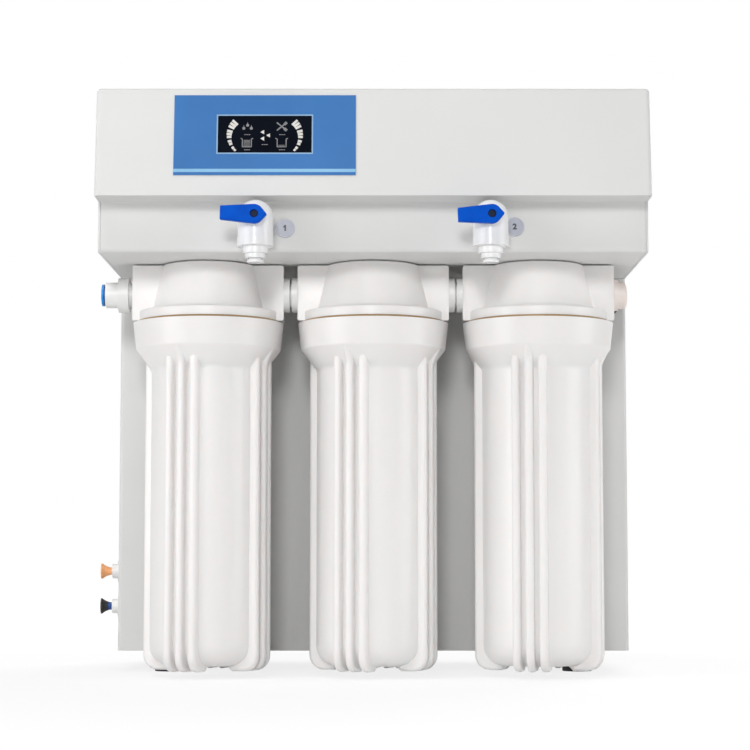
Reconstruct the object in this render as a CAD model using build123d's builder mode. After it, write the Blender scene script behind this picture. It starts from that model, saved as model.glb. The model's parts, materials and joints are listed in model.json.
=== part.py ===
from build123d import *
from math import cos, radians, sin, sqrt, tan
import os

# Bench water purifier: a folded sheet cabinet whose overhanging header carries three hanging
# filter housings and two elbow ball valves. Millimetres, +Z up, front towards -Y.
# The origin is on the bench, under the front panel's face, midway along the overall width.

# Casing
SIDE_MARGIN = 17.6  # cabinet's sides beyond the outer heads
MID_X = 8.0  # cabinet mid-plane: the side plugs reach further left than anything reaches right
CABINET_DEPTH = 178.0
SHEET = 1.5
BEND_R = 2.0  # fold radius on the sheet's mid-line
CORNER_R = 3.0  # outer corners of the hood
SEAM = 0.2  # gap left where sheets and fixed pieces meet
RETURN_FLANGE = 16.0
TRAY_FLANGE = 12.0
DECK_BEHIND_PANEL = 20.0
FOOT_HEIGHT = 16.0
FOOT_R = 13.0
FOOT_TAPER = 2.0
FOOT_INSET_X = 37.5
FOOT_INSET_Y = 20.0

# Header
OVERHANG = 162.0  # lip in front of the front panel
HEADER_HEIGHT = 113.0
LIP_RISE = 35.8  # lip above the underside
FACE_LEAN = 9.2  # top edge behind the lip
BAND_SETBACK = 25.0  # valve band behind the lip

# Control panel on the sloping face, measured in from its left end and up from the lip
OVERLAY_WIDTH = 126.0
OVERLAY_INSET = 54.5
OVERLAY_BELOW = 14.4  # face left bare below the film
OVERLAY_ABOVE = 5.5
OVERLAY_T = 0.6
WINDOW_WIDTH = 66.3
WINDOW_HEIGHT = 28.0
WINDOW_RISE = 0.6  # above the film's middle
BOARD_INSET = (7.0, 2.9)  # inside the film's edges
BOARD_T = 1.6
STANDOFF = 12.0
STANDOFF_R = 2.5
STANDOFF_INSET = 5.0

# Filter train
LINK_GAP = 10.2  # between neighbouring heads
HOUSING_GAP = 13.3  # collars in front of the panel
BENCH_GAP = 5.3  # bench to the ribs' undersides
SUMP_LENGTH = 250.0
SEAL_GAP = 1.8  # seam between sump and head, filled by the seal
HEAD_HEIGHT = 40.2
BOSS_HEIGHT = 1.0  # the head's boss against the header's underside
BOSS_STEP = 3.8  # boss inside the cone's top
BOSS_SCREW_INSET = 9.0
CONE_TAPER = 7.7
CONE_STEP = 9.1  # cone inside the flange
FLANGE_STEP = 4.1  # flange inside the sump's collar
FLANGE_HEIGHT = 7.0
WING_PROUD = 0.2  # wings beyond the sump's collar
WING_FRONT = 10.0
WING_BACK = 14.0
WING_CORNER_R = 1.5
PORT_DROP = 20.7  # port axis below the head's top
PORT_R = 6.5
PORT_DEPTH = 13.0
CONE_FILLET = 3.0
SKIRT_HEIGHT = 16.0
SKIRT_WALL = 4.0
HEAD_ROOF = 7.0
SPIGOT_R = 13.0
SPIGOT_BORE_R = 8.0
SPIGOT_REACH = 9.0  # into the cartridge
PASSAGE_R = 3.3
DUCT_R = 6.0  # from the spigot to the outlet port

# Sump
COLLAR_R = 54.7
COLLAR_TAPER = 2.1
COLLAR_HEIGHT = 19.0
NECK_HEIGHT = 15.0
NECK_TAPER = 11.6
NECK_FILLET = 5.0
SUMP_WALL = 3.5
BODY_CORNER_R = 15.0
THREAD_GAP = 0.3
SEAL_WIDTH = 3.0
SEAL_GROOVE = 1.2
SEAL_SLACK = 0.15
RIB_REACH = 5.5  # ribs' crests outside the body
RIB_DROP = 3.5  # ribs below the base
RIB_WIDTH = 6.0
RIB_ROUND = 2.4
RIB_CORNER_R = 11.0
RIB_UNDER_REACH = 19.0  # ribs' inner ends under the base, in from its side
RIB_SPACING = 9.6  # between the ribs of a group
TALL_RIB_BEND = 12.0  # bend of the middle rib below the collar
RIB_GROUPS = 4
SUMP_TURNS = {"left": -21.5, "middle": -22.0, "right": -13.0}  # rib groups' turn from the front
SEAT_R = 24.0  # cartridge's seat on the sump's floor
SEAT_HEIGHT = 6.0
STUB_R = 12.0
STUB_HEIGHT = 6.0
CARTRIDGE_GAP = 4.5
CARTRIDGE_CAP_OVER = 2.0
CARTRIDGE_CAP = 12.0
FIT = 0.3  # clearance between pieces that move on each other

# Port fittings
FITTING_STUB_R = 6.3
FITTING_STUB = 11.0
LINK_COLLAR_R = 12.5
LINK_COLLAR = 4.4
LINK_NECK_R = 9.0
FEED_SHOULDER_R = 9.0
FEED_SHOULDER = 3.0
FEED_COLLAR_R = 12.65
FEED_COLLAR = 7.7
FEED_BODY_R = 9.4
FEED_BODY = 9.3
ELBOW_COLLAR_R = 11.4
ELBOW_COLLAR = 3.6
ELBOW_KNUCKLE_R = 10.0
ELBOW_KNUCKLE = 6.3
ELBOW_ROUND = 2.5
ELBOW_LEG_R = 5.2
ELBOW_LEG = 32.0
TUBE_R = 3.175
TUBE_BORE_R = 2.1
TUBE_SEAT = 12.0  # tube pushed into a fitting
TUBE_BEND_R = 22.0
GROMMET_R = 6.5
GROMMET_LIP = 1.5

# Push-fit collets
COLLET_BORE_R = 3.2
COLLET_WALL = 1.2
COLLET_LENGTH = 12.0
COLLET_LIP = 1.6
COLLET_TRAVEL = 1.0
OUTLET_LIP_R = 5.6
FEED_LIP_R = 8.0

# Elbow valves
VALVE_INSET = 39.0  # valves inside the outer housings' axes
VALVE_STANDOFF = 23.0  # vertical axis in front of the band
VALVE_RISE = 20.5  # hub above the header's underside
VALVE_R = 12.4
LEG_R = 12.2
LEG_DROP = 19.9
LEG_COLLAR_R = 12.5
LEG_COLLAR = 5.5
GLAND_R = 6.2  # stem gland behind the lever
GLAND_PROUD = 1.0
VALVE_NECK_R = 9.5  # narrow neck between the hub and the band
VALVE_NECK = 8.0
STEP_R = 8.55
STEP = 5.0
TIP_R = 6.85
TIP = 3.4
TAIL_R = 6.3  # threaded tail through the band
TAIL = 30.0
NUT_WIDTH = 19.0
NUT = 6.0
BALL_R = 7.7
BALL_FLAT = 6.4
STEM_R = 3.9
STEM_GAP = 0.05
LEVER_T = 5.5
LEVER_GAP = 0.6
LEVER_LENGTH = 23.3
LEVER_END = 9.4
LEVER_HUB_R = 6.5
LEVER_TIP = 8.4
LEVER_TIP_R = 0.7
LEVER_ROUND = 0.8
LEVER_RECESS_R = 2.85
LEVER_RECESS = 2.6
LEVER_SOCKET = 1.9
LEVER_TILT = {"left": 2.0, "right": -2.0}  # degrees that the handles stand off level
DISC_R = 6.7
DISC_T = 0.8
DISCS = {"left": (19.5, 16.8), "right": (18.0, 17.8)}  # beside the valve, up from the underside

# Side drain ports and their plugs
PORT_Y = 24.0
PORT_HEIGHTS = {"upper": 75.5, "lower": 49.0}
PORT_FLANGE_R = 8.5
PORT_FLANGE = 2.5
PORT_NOSE_R = 5.5
PORT_NOSE = 4.5
PORT_BARREL_R = 6.0
PORT_BARREL = 22.0
PLUG_STEM_R = 3.1
PLUG_STEM = 16.0
PLUG_NECK_R = 2.75
PLUG_WAIST_R = 3.9
PLUG_WAIST = 4.8
PLUG_FLARE_R = 5.9
PLUG_FLARE = 8.7
PLUG_RIM = 0.8

# Inside the cabinet
VESSEL_GAP = 5.0  # vessels behind the panel
VESSEL_CLEAR = 6.0  # vessels above the pump and the supply
VESSEL_DROP = 44.0  # vessels' ports below the valves' axes
MEMBRANE_R = 30.0
DEIONISER_R = 27.0
VESSEL_CAP = 26.0
VESSEL_CAP_OVER = 3.0
VESSEL_PORT_R = 6.5
VESSEL_PORT = 14.0
VESSEL_ROUND = 6.0
CLIP_T = 2.5
CLIP_HEIGHT = 15.0
CLIP_MOUTH = 40.0
CLIP_INSET = 35.0
PUMP_REAR_GAP = 20.0
MOTOR_R = 32.0
MOTOR_LENGTH = 80.0
PUMP_HEAD = 58.0
PUMP_HEAD_LENGTH = 48.0
PUMP_PLATE = 3.0
PUMP_PLATE_WIDTH = 64.0
PUMP_MOUNT_R = 7.0
PUMP_MOUNT = 10.0
SUPPLY_REAR_GAP = 3.0  # from the mains inlet
SUPPLY_SIZE = (120.0, 80.0, 46.0)
SUPPLY_ROUND = 2.0
SOLENOID_RUN = 28.0  # tube from its bend to the solenoid
SOLENOID_SIZE = (26.0, 30.0, 22.0)
COIL_SIZE = (24.0, 24.0, 30.0)
SWITCH_R = 12.0
SWITCH_LENGTH = 24.0
SWITCH_Z = 190.0

# Rear cover
VENT_LENGTH = 44.0
VENT_WIDTH = 3.0
VENT_PITCH = 9.0
VENT_COLUMN = 70.0
VENT_COLUMNS = 3
VENT_ROWS = 8
VENT_Z = 330.0
INLET_INSET = 67.5  # from the right side
INLET_Z = 62.0
INLET_FLANGE = (48.0, 28.0)
INLET_FLANGE_T = 2.5
INLET_BODY = (28.0, 20.0)
INLET_BODY_DEPTH = 20.0
INLET_SOCKET = (24.4, 16.2)
INLET_SOCKET_DEPTH = 16.0
BLADE = (2.0, 4.0)
BLADE_LENGTH = 13.0
BLADE_SPACING = 7.0
BLADE_OFFSET = 2.0
ROCKER_RISE = 38.0  # rocker above the inlet
ROCKER_SIZE = (24.0, 18.0)
ROCKER_FRAME = 4.0
ROCKER_FRAME_T = 2.0
ROCKER_DEPTH = 12.0
ROCKER_PIVOT = 3.0  # below the rear face
ROCKER_DIP = 0.8
ROCKER_TILT = 20.0  # throw
SCREW_R = 1.5
SCREW_HOLE_R = 1.7
SCREW_HEAD_R = 3.5
SCREW_HEAD = 2.0
SCREW_CROWN_R = 2.4
SCREW_EDGE = 0.8
SCREW_LENGTH = 9.0
COVER_SCREW_HEIGHTS = (35.0, 150.0, 265.0)

# Heights
SUMP_TOP = BENCH_GAP + SUMP_LENGTH
FLANGE_Z = SUMP_TOP + SEAL_GAP
HEAD_TOP = FLANGE_Z + HEAD_HEIGHT
UNDER_Z = HEAD_TOP + BOSS_HEIGHT
LIP_Z = UNDER_Z + LIP_RISE
TOP_Z = UNDER_Z + HEADER_HEIGHT
PORT_Z = HEAD_TOP - PORT_DROP
SUMP_BASE = BENCH_GAP + RIB_DROP
VALVE_Z = UNDER_Z + VALVE_RISE
FLOOR_Z = FOOT_HEIGHT + SHEET  # top of the base plate

# Housing radii
COLLAR_LOW_R = COLLAR_R - COLLAR_TAPER
BODY_R = COLLAR_LOW_R - NECK_TAPER
RIB_UNDER = BODY_R - RIB_UNDER_REACH
CARTRIDGE_CAP_R = BODY_R - SUMP_WALL - CARTRIDGE_GAP
CARTRIDGE_R = CARTRIDGE_CAP_R - CARTRIDGE_CAP_OVER
FLANGE_R = COLLAR_R - FLANGE_STEP
HEAD_BASE_R = FLANGE_R - CONE_STEP
HEAD_TOP_R = HEAD_BASE_R - CONE_TAPER
BOSS_R = HEAD_TOP_R - BOSS_STEP
BOSS_SCREW = BOSS_R - BOSS_SCREW_INSET  # screws either side of the axis
WING_HALF = COLLAR_R + WING_PROUD

# Widths
PITCH = 2 * WING_HALF + LINK_GAP
WIDTH = 2 * (PITCH + WING_HALF + SIDE_MARGIN)
INNER_HALF = WIDTH / 2 - SHEET - SEAM
HOUSING_X = {"left": MID_X - PITCH, "middle": MID_X, "right": MID_X + PITCH}
VALVE_X = {"left": MID_X - PITCH + VALVE_INSET, "right": MID_X + PITCH - VALVE_INSET}
LEFT_WALL = MID_X - WIDTH / 2
RIGHT_WALL = MID_X + WIDTH / 2
OVERLAY_X = OVERLAY_INSET + OVERLAY_WIDTH / 2 - WIDTH / 2
RETURN_X = WIDTH / 2 - RETURN_FLANGE / 2  # screw line on the shell's rear returns
INLET_X = RIGHT_WALL - INLET_INSET

# Depths
LIP_Y = -OVERHANG
BAND_Y = LIP_Y + BAND_SETBACK
HOUSING_Y = -COLLAR_R - HOUSING_GAP
VALVE_Y = BAND_Y - VALVE_STANDOFF
COVER_Y = CABINET_DEPTH - SHEET  # inner face of the rear cover
SHELL_REAR = COVER_Y - SEAM

# The sloping front face: across, up the slope, outwards
FACE_LENGTH = sqrt((HEADER_HEIGHT - LIP_RISE) ** 2 + FACE_LEAN**2)
OVERLAY_HEIGHT = FACE_LENGTH - OVERLAY_BELOW - OVERLAY_ABOVE
OVERLAY_V = OVERLAY_BELOW + OVERLAY_HEIGHT / 2
WINDOW_V = OVERLAY_V + WINDOW_RISE
BOARD_WIDTH = OVERLAY_WIDTH - 2 * BOARD_INSET[0]
BOARD_HEIGHT = OVERLAY_HEIGHT - 2 * BOARD_INSET[1]
FACE = Plane(
    origin=(MID_X, LIP_Y, LIP_Z),
    x_dir=(1, 0, 0),
    z_dir=(0, LIP_RISE - HEADER_HEIGHT, FACE_LEAN),
)

UP = Vector(0, 0, 1)
DOWN = Vector(0, 0, -1)
RIGHT = Vector(1, 0, 0)
LEFT = Vector(-1, 0, 0)
BACK = Vector(0, 1, 0)
FRONT = Vector(0, -1, 0)

os.makedirs("parts", exist_ok=True)


def save(piece, name):
    piece.part.label = name
    export_step(piece.part, f"parts/{name}.step")


def section_plane(origin, along):
    """Plane through a line: across it, then along it."""
    across = RIGHT if abs(along.Z) > 0.5 else UP
    return Plane(origin=origin, x_dir=across, z_dir=across.cross(along))


def turn(profile, origin, along, mode=Mode.ADD):
    """Turned form: (radius, distance) points about a line from origin."""
    with BuildSketch(section_plane(origin, along)) as outline:
        with BuildLine():
            Polyline(*profile, close=True)
        make_face()
    revolve(outline.sketch, axis=Axis(origin, along), mode=mode)


def rod(origin, along, radius, length, mode=Mode.ADD):
    """Round bar or bore from origin along a direction."""
    with BuildSketch(Plane(origin=origin, z_dir=along)) as end:
        Circle(radius)
    extrude(end.sketch, amount=length, mode=mode)


def drill(origin, along, radius, depth):
    rod(origin, along, radius, depth, mode=Mode.SUBTRACT)


def block(size, origin, mode=Mode.ADD):
    """Upright box from the middle of its underside."""
    with BuildSketch(Plane(origin=origin)) as base:
        Rectangle(size[0], size[1])
    extrude(base.sketch, amount=size[2], mode=mode)


def tube(name, points, bend_r):
    """Round tube along straight runs joined by tangent bends."""
    with BuildPart() as piece:
        with BuildLine() as route:
            FilletPolyline(*points, radius=bend_r)
        with BuildSketch(Plane(origin=route.line @ 0, z_dir=route.line % 0)):
            Circle(TUBE_R)
            Circle(TUBE_BORE_R, mode=Mode.SUBTRACT)
        sweep()
    save(piece, name)


# Top hood: sloping front, top and both ends from one folded sheet
with BuildPart() as top_hood:
    with BuildSketch(Plane.YZ.offset(MID_X)):
        with BuildLine():
            Polyline(
                (LIP_Y, LIP_Z),
                (LIP_Y + FACE_LEAN, TOP_Z),
                (SHELL_REAR, TOP_Z),
                (SHELL_REAR, UNDER_Z),
                (BAND_Y, UNDER_Z),
                (BAND_Y, LIP_Z),
                close=True,
            )
        make_face()
    extrude(amount=WIDTH / 2, both=True)
    roof = top_hood.faces().sort_by(Axis.Z)[-1]
    front = top_hood.faces().sort_by(Axis.Y)[0]
    fillet(roof.edges().sort_by(Axis.Y)[:-1] + front.edges().sort_by(Axis.Z)[1:3], CORNER_R)
    open_sides = top_hood.faces().filter_by(
        lambda f: f.normal_at().Z < -0.999 or abs(f.normal_at().Y) > 0.999
    )
    offset(amount=-SHEET, openings=open_sides)
    with BuildSketch(FACE):
        with Locations((OVERLAY_X, WINDOW_V)):
            Rectangle(WINDOW_WIDTH, WINDOW_HEIGHT)
    extrude(amount=-2 * SHEET, mode=Mode.SUBTRACT)
    toe = top_hood.edges().filter_by(Axis.X).filter_by(
        lambda e: abs(e.center().Y - BAND_Y) < SEAM and abs(e.center().Z - UNDER_Z) < SEAM
    )
    fillet(toe, BEND_R + SHEET / 2)
save(top_hood, "top_hood")

# Valve tray: lip return, recessed band and underside from one folded sheet
with BuildPart() as valve_tray:
    with BuildSketch(Plane.YZ.offset(MID_X)):
        with BuildLine():
            FilletPolyline(
                (LIP_Y + SHEET + 3 * SEAM, LIP_Z + SHEET / 2),
                (BAND_Y + SHEET / 2, LIP_Z + SHEET / 2),
                (BAND_Y + SHEET / 2, UNDER_Z + SHEET / 2),
                (DECK_BEHIND_PANEL, UNDER_Z + SHEET / 2),
                (DECK_BEHIND_PANEL, UNDER_Z + TRAY_FLANGE),
                radius=BEND_R,
            )
        trace(line_width=SHEET)
    extrude(amount=INNER_HALF, both=True)
    fillet(valve_tray.edges().filter_by(Axis.Z).sort_by(Axis.Y)[:2], CORNER_R)
    for valve_x in VALVE_X.values():
        drill((valve_x, BAND_Y - SHEET, VALVE_Z), BACK, TAIL_R + SEAM, 3 * SHEET)
    for housing_x in HOUSING_X.values():
        for side in (LEFT, RIGHT):
            screw_at = Vector(housing_x, HOUSING_Y, UNDER_Z - SHEET) + side * BOSS_SCREW
            drill(screw_at, UP, SCREW_HOLE_R, 3 * SHEET)
save(valve_tray, "valve_tray")

# Front panel: front, sides and rear returns from one folded sheet
with BuildPart() as front_panel:
    half = WIDTH / 2 - SHEET / 2
    back = SHELL_REAR - SHEET / 2
    with BuildSketch(Plane.XY.offset(FOOT_HEIGHT)):
        with BuildLine():
            FilletPolyline(
                (MID_X - half + RETURN_FLANGE, back),
                (MID_X - half, back),
                (MID_X - half, SHEET / 2),
                (MID_X + half, SHEET / 2),
                (MID_X + half, back),
                (MID_X + half - RETURN_FLANGE, back),
                radius=BEND_R,
            )
        trace(line_width=SHEET)
    extrude(amount=UNDER_Z - SEAM - FOOT_HEIGHT)
    elbow_x = HOUSING_X["right"] + WING_HALF + ELBOW_LEG_R + FIT
    drill((elbow_x, -SHEET, PORT_Z), BACK, GROMMET_R - GROMMET_LIP, 3 * SHEET)
    for height in PORT_HEIGHTS.values():
        drill((LEFT_WALL - SHEET, PORT_Y, height), RIGHT, PORT_BARREL_R + SEAM, 3 * SHEET)
    for side in (-1, 1):
        for height in COVER_SCREW_HEIGHTS:
            drill((MID_X + side * RETURN_X, COVER_Y, height), FRONT, SCREW_HOLE_R, 3 * SHEET)
save(front_panel, "front_panel")

# Base plate: shallow pan between the side walls
foot_ys = (FOOT_INSET_Y, CABINET_DEPTH - FOOT_INSET_Y)
feet_at = [
    (foot_x, foot_y)
    for foot_x in (LEFT_WALL + FOOT_INSET_X, RIGHT_WALL - FOOT_INSET_X)
    for foot_y in foot_ys
]
with BuildPart() as base_plate:
    pan_depth = SHELL_REAR - 2 * SHEET - 2 * SEAM
    with BuildSketch(Plane((MID_X, SHEET + SEAM + pan_depth / 2, FOOT_HEIGHT))):
        Rectangle(2 * INNER_HALF, pan_depth)
    extrude(amount=TRAY_FLANGE)
    fillet(base_plate.edges().filter_by(Axis.Z), BEND_R + SEAM)
    offset(amount=-SHEET, openings=base_plate.faces().sort_by(Axis.Z)[-1])
    for foot_x, foot_y in feet_at:
        drill((foot_x, foot_y, FOOT_HEIGHT - SHEET), UP, SCREW_HOLE_R, 3 * SHEET)
save(base_plate, "base_plate")

# Rubber feet: tapered, with a sunk screw seat
with BuildPart() as rubber_feet:
    for foot_x, foot_y in feet_at:
        turn(
            (
                (SCREW_HOLE_R, FOOT_HEIGHT),
                (FOOT_R, FOOT_HEIGHT),
                (FOOT_R - FOOT_TAPER, 0),
                (2 * SCREW_HEAD_R, 0),
                (2 * SCREW_HEAD_R, FOOT_HEIGHT / 2),
                (SCREW_HOLE_R, FOOT_HEIGHT / 2),
            ),
            Vector(foot_x, foot_y, 0),
            UP,
        )
save(rubber_feet, "rubber_feet")

# Rear cover: full-height plate with vents, mains inlet and rocker openings
rocker_z = INLET_Z + ROCKER_RISE
with BuildPart() as rear_cover:
    with BuildSketch(Plane.XZ.offset(-CABINET_DEPTH)):
        with Locations((MID_X, (FOOT_HEIGHT + TOP_Z) / 2)):
            RectangleRounded(WIDTH, TOP_Z - FOOT_HEIGHT, CORNER_R)
        with Locations((MID_X, VENT_Z)):
            with GridLocations(VENT_COLUMN, VENT_PITCH, VENT_COLUMNS, VENT_ROWS):
                SlotOverall(VENT_LENGTH, VENT_WIDTH, mode=Mode.SUBTRACT)
        with Locations((INLET_X, INLET_Z)):
            Rectangle(INLET_BODY[0] + 2 * SEAM, INLET_BODY[1] + 2 * SEAM, mode=Mode.SUBTRACT)
        with Locations((INLET_X, rocker_z)):
            Rectangle(ROCKER_SIZE[0] + 2 * SEAM, ROCKER_SIZE[1] + 2 * SEAM, mode=Mode.SUBTRACT)
        for side in (-1, 1):
            with Locations(*[(MID_X + side * RETURN_X, z) for z in COVER_SCREW_HEIGHTS]):
                Circle(SCREW_HOLE_R, mode=Mode.SUBTRACT)
    extrude(amount=SHEET)
save(rear_cover, "rear_cover")


def screw(head_seat, along):
    """Pan-head screw: the head's underside at its seat, the shank along a direction."""
    turn(
        (
            (0, -SCREW_HEAD),
            (SCREW_CROWN_R, -SCREW_HEAD),
            (SCREW_HEAD_R, -SCREW_EDGE),
            (SCREW_HEAD_R, 0),
            (SCREW_R, 0),
            (SCREW_R, SCREW_LENGTH),
            (0, SCREW_LENGTH),
        ),
        head_seat,
        along,
    )


with BuildPart() as cover_screws:
    for side in (-1, 1):
        for height in COVER_SCREW_HEIGHTS:
            screw(Vector(MID_X + side * RETURN_X, CABINET_DEPTH, height), FRONT)
save(cover_screws, "cover_screws")

# Control overlay, window, display and board, stacked behind the sloping face
with BuildPart() as control_overlay:
    with BuildSketch(FACE):
        with Locations((OVERLAY_X, OVERLAY_V)):
            Rectangle(OVERLAY_WIDTH, OVERLAY_HEIGHT)
        with Locations((OVERLAY_X, WINDOW_V)):
            Rectangle(WINDOW_WIDTH, WINDOW_HEIGHT, mode=Mode.SUBTRACT)
    extrude(amount=OVERLAY_T)
save(control_overlay, "control_overlay")

with BuildPart() as display_window:
    with BuildSketch(FACE.offset(-SHEET)):
        with Locations((OVERLAY_X, WINDOW_V)):
            Rectangle(WINDOW_WIDTH - SEAM, WINDOW_HEIGHT - SEAM)
    extrude(amount=SHEET + OVERLAY_T - SEAM / 2)
save(display_window, "display_window")

with BuildPart() as display_module:
    with BuildSketch(FACE.offset(-SHEET - STANDOFF)):
        with Locations((OVERLAY_X, WINDOW_V)):
            Rectangle(WINDOW_WIDTH + 2 * SHEET, WINDOW_HEIGHT + 2 * SHEET)
    extrude(amount=STANDOFF)
save(display_module, "display_module")

standoff_across = BOARD_WIDTH - 2 * STANDOFF_INSET
standoff_up = BOARD_HEIGHT - 2 * STANDOFF_INSET
with BuildPart() as controller_board:
    with BuildSketch(FACE.offset(-SHEET - STANDOFF - BOARD_T)):
        with Locations((OVERLAY_X, OVERLAY_V)):
            Rectangle(BOARD_WIDTH, BOARD_HEIGHT)
            with GridLocations(standoff_across, standoff_up, 2, 2):
                Circle(SCREW_HOLE_R, mode=Mode.SUBTRACT)
    extrude(amount=BOARD_T)
save(controller_board, "controller_board")

with BuildPart() as board_standoffs:
    with BuildSketch(FACE.offset(-SHEET - STANDOFF)):
        with Locations((OVERLAY_X, OVERLAY_V)):
            with GridLocations(standoff_across, standoff_up, 2, 2):
                Circle(STANDOFF_R)
    extrude(amount=STANDOFF)
save(board_standoffs, "board_standoffs")

# Filter housings
skirt_r = COLLAR_R - SEAL_WIDTH - SUMP_WALL - FIT  # head's threaded skirt, in the collar
thread_r = skirt_r + THREAD_GAP
head_cavity_r = skirt_r - SKIRT_WALL
cartridge_bore_r = SPIGOT_R + FIT
seat_z = SUMP_BASE + SUMP_WALL + SEAT_HEIGHT
cartridge_foot = seat_z + SEAM
spigot_end = FLANGE_Z - SKIRT_HEIGHT / 2
cartridge_top = spigot_end + SPIGOT_REACH


def filter_head(name, x):
    """Head with its cone, flange, port wings, threaded skirt and centre spigot."""
    axis = Vector(x, HOUSING_Y, 0)
    roof_z = HEAD_TOP - HEAD_ROOF
    with BuildPart() as head:
        turn(
            (
                (0, UNDER_Z),
                (BOSS_R, UNDER_Z),
                (BOSS_R, HEAD_TOP),
                (HEAD_TOP_R, HEAD_TOP),
                (HEAD_BASE_R, FLANGE_Z + FLANGE_HEIGHT),
                (FLANGE_R, FLANGE_Z + FLANGE_HEIGHT),
                (FLANGE_R, FLANGE_Z),
                (skirt_r, FLANGE_Z),
                (skirt_r, FLANGE_Z - SKIRT_HEIGHT),
                (0, FLANGE_Z - SKIRT_HEIGHT),
            ),
            axis,
            UP,
        )
        shoulder = head.edges().filter_by(GeomType.CIRCLE).filter_by(
            lambda e: abs(e.center().Z - FLANGE_Z - FLANGE_HEIGHT) < SEAM
        )
        fillet(shoulder.sort_by(SortBy.RADIUS)[0], CONE_FILLET)
        fillet(shoulder.sort_by(SortBy.RADIUS)[-1], CONE_FILLET / 2)
        with BuildSketch(Plane.XZ.offset(-HOUSING_Y + WING_FRONT)) as wings:
            with Locations((x, (HEAD_TOP + FLANGE_Z) / 2)):
                RectangleRounded(2 * WING_HALF, HEAD_HEIGHT, WING_CORNER_R)
        extrude(wings.sketch, amount=-WING_FRONT - WING_BACK)
        turn(
            (
                (SPIGOT_R, FLANGE_Z - 2 * SKIRT_HEIGHT),
                (head_cavity_r, FLANGE_Z - 2 * SKIRT_HEIGHT),
                (head_cavity_r, FLANGE_Z),
                (HEAD_TOP_R - HEAD_ROOF, roof_z),
                (SPIGOT_R, roof_z),
            ),
            axis,
            UP,
            mode=Mode.SUBTRACT,
        )
        rod(axis + UP * PORT_Z, RIGHT, DUCT_R, WING_HALF - PORT_DEPTH)
        drill(axis + UP * spigot_end, DOWN, SPIGOT_R + SUMP_WALL, 2 * SKIRT_HEIGHT)
        drill(axis + UP * (spigot_end - SUMP_WALL), UP, SPIGOT_BORE_R, PORT_Z - spigot_end + SUMP_WALL)
        for side in (LEFT, RIGHT):
            mouth = axis + UP * PORT_Z + side * WING_HALF
            drill(mouth, side * -1, PORT_R, PORT_DEPTH)
            screw_at = axis + UP * (UNDER_Z + SHEET) + side * BOSS_SCREW
            drill(screw_at, DOWN, SCREW_HOLE_R, SCREW_LENGTH)
        feed_passage = WING_HALF - SPIGOT_R - PASSAGE_R
        drill(axis + UP * PORT_Z + LEFT * WING_HALF, RIGHT, PASSAGE_R, feed_passage)
        drill(axis + UP * PORT_Z, RIGHT, PASSAGE_R, WING_HALF)
    save(head, name)


def rib(offset_y, crest_top):
    """One upright rib that wraps under the base, on the +X side of the axis."""
    crest_x = crest_top[0][0]
    with BuildPart() as fin:
        with BuildSketch(Plane.XZ.offset(offset_y)):
            with BuildLine():
                FilletPolyline(
                    (RIB_UNDER + RIB_DROP, BENCH_GAP),
                    (crest_x, BENCH_GAP),
                    *crest_top,
                    radius=RIB_CORNER_R,
                )
                Polyline(
                    crest_top[-1],
                    (RIB_UNDER, crest_top[-1][1]),
                    (RIB_UNDER, SUMP_BASE),
                    (RIB_UNDER + RIB_DROP, BENCH_GAP),
                )
            make_face()
        extrude(amount=RIB_WIDTH / 2, both=True)
        flanks = fin.faces().filter_by(Axis.Y).edges()
        crest = flanks.filter_by(
            lambda e: (e @ 0.5).X > BODY_R + RIB_REACH / 2
            or (e @ 0.5).Z < SUMP_BASE - RIB_DROP / 4
        )
        fillet(crest, RIB_ROUND)
    return fin.part


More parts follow.
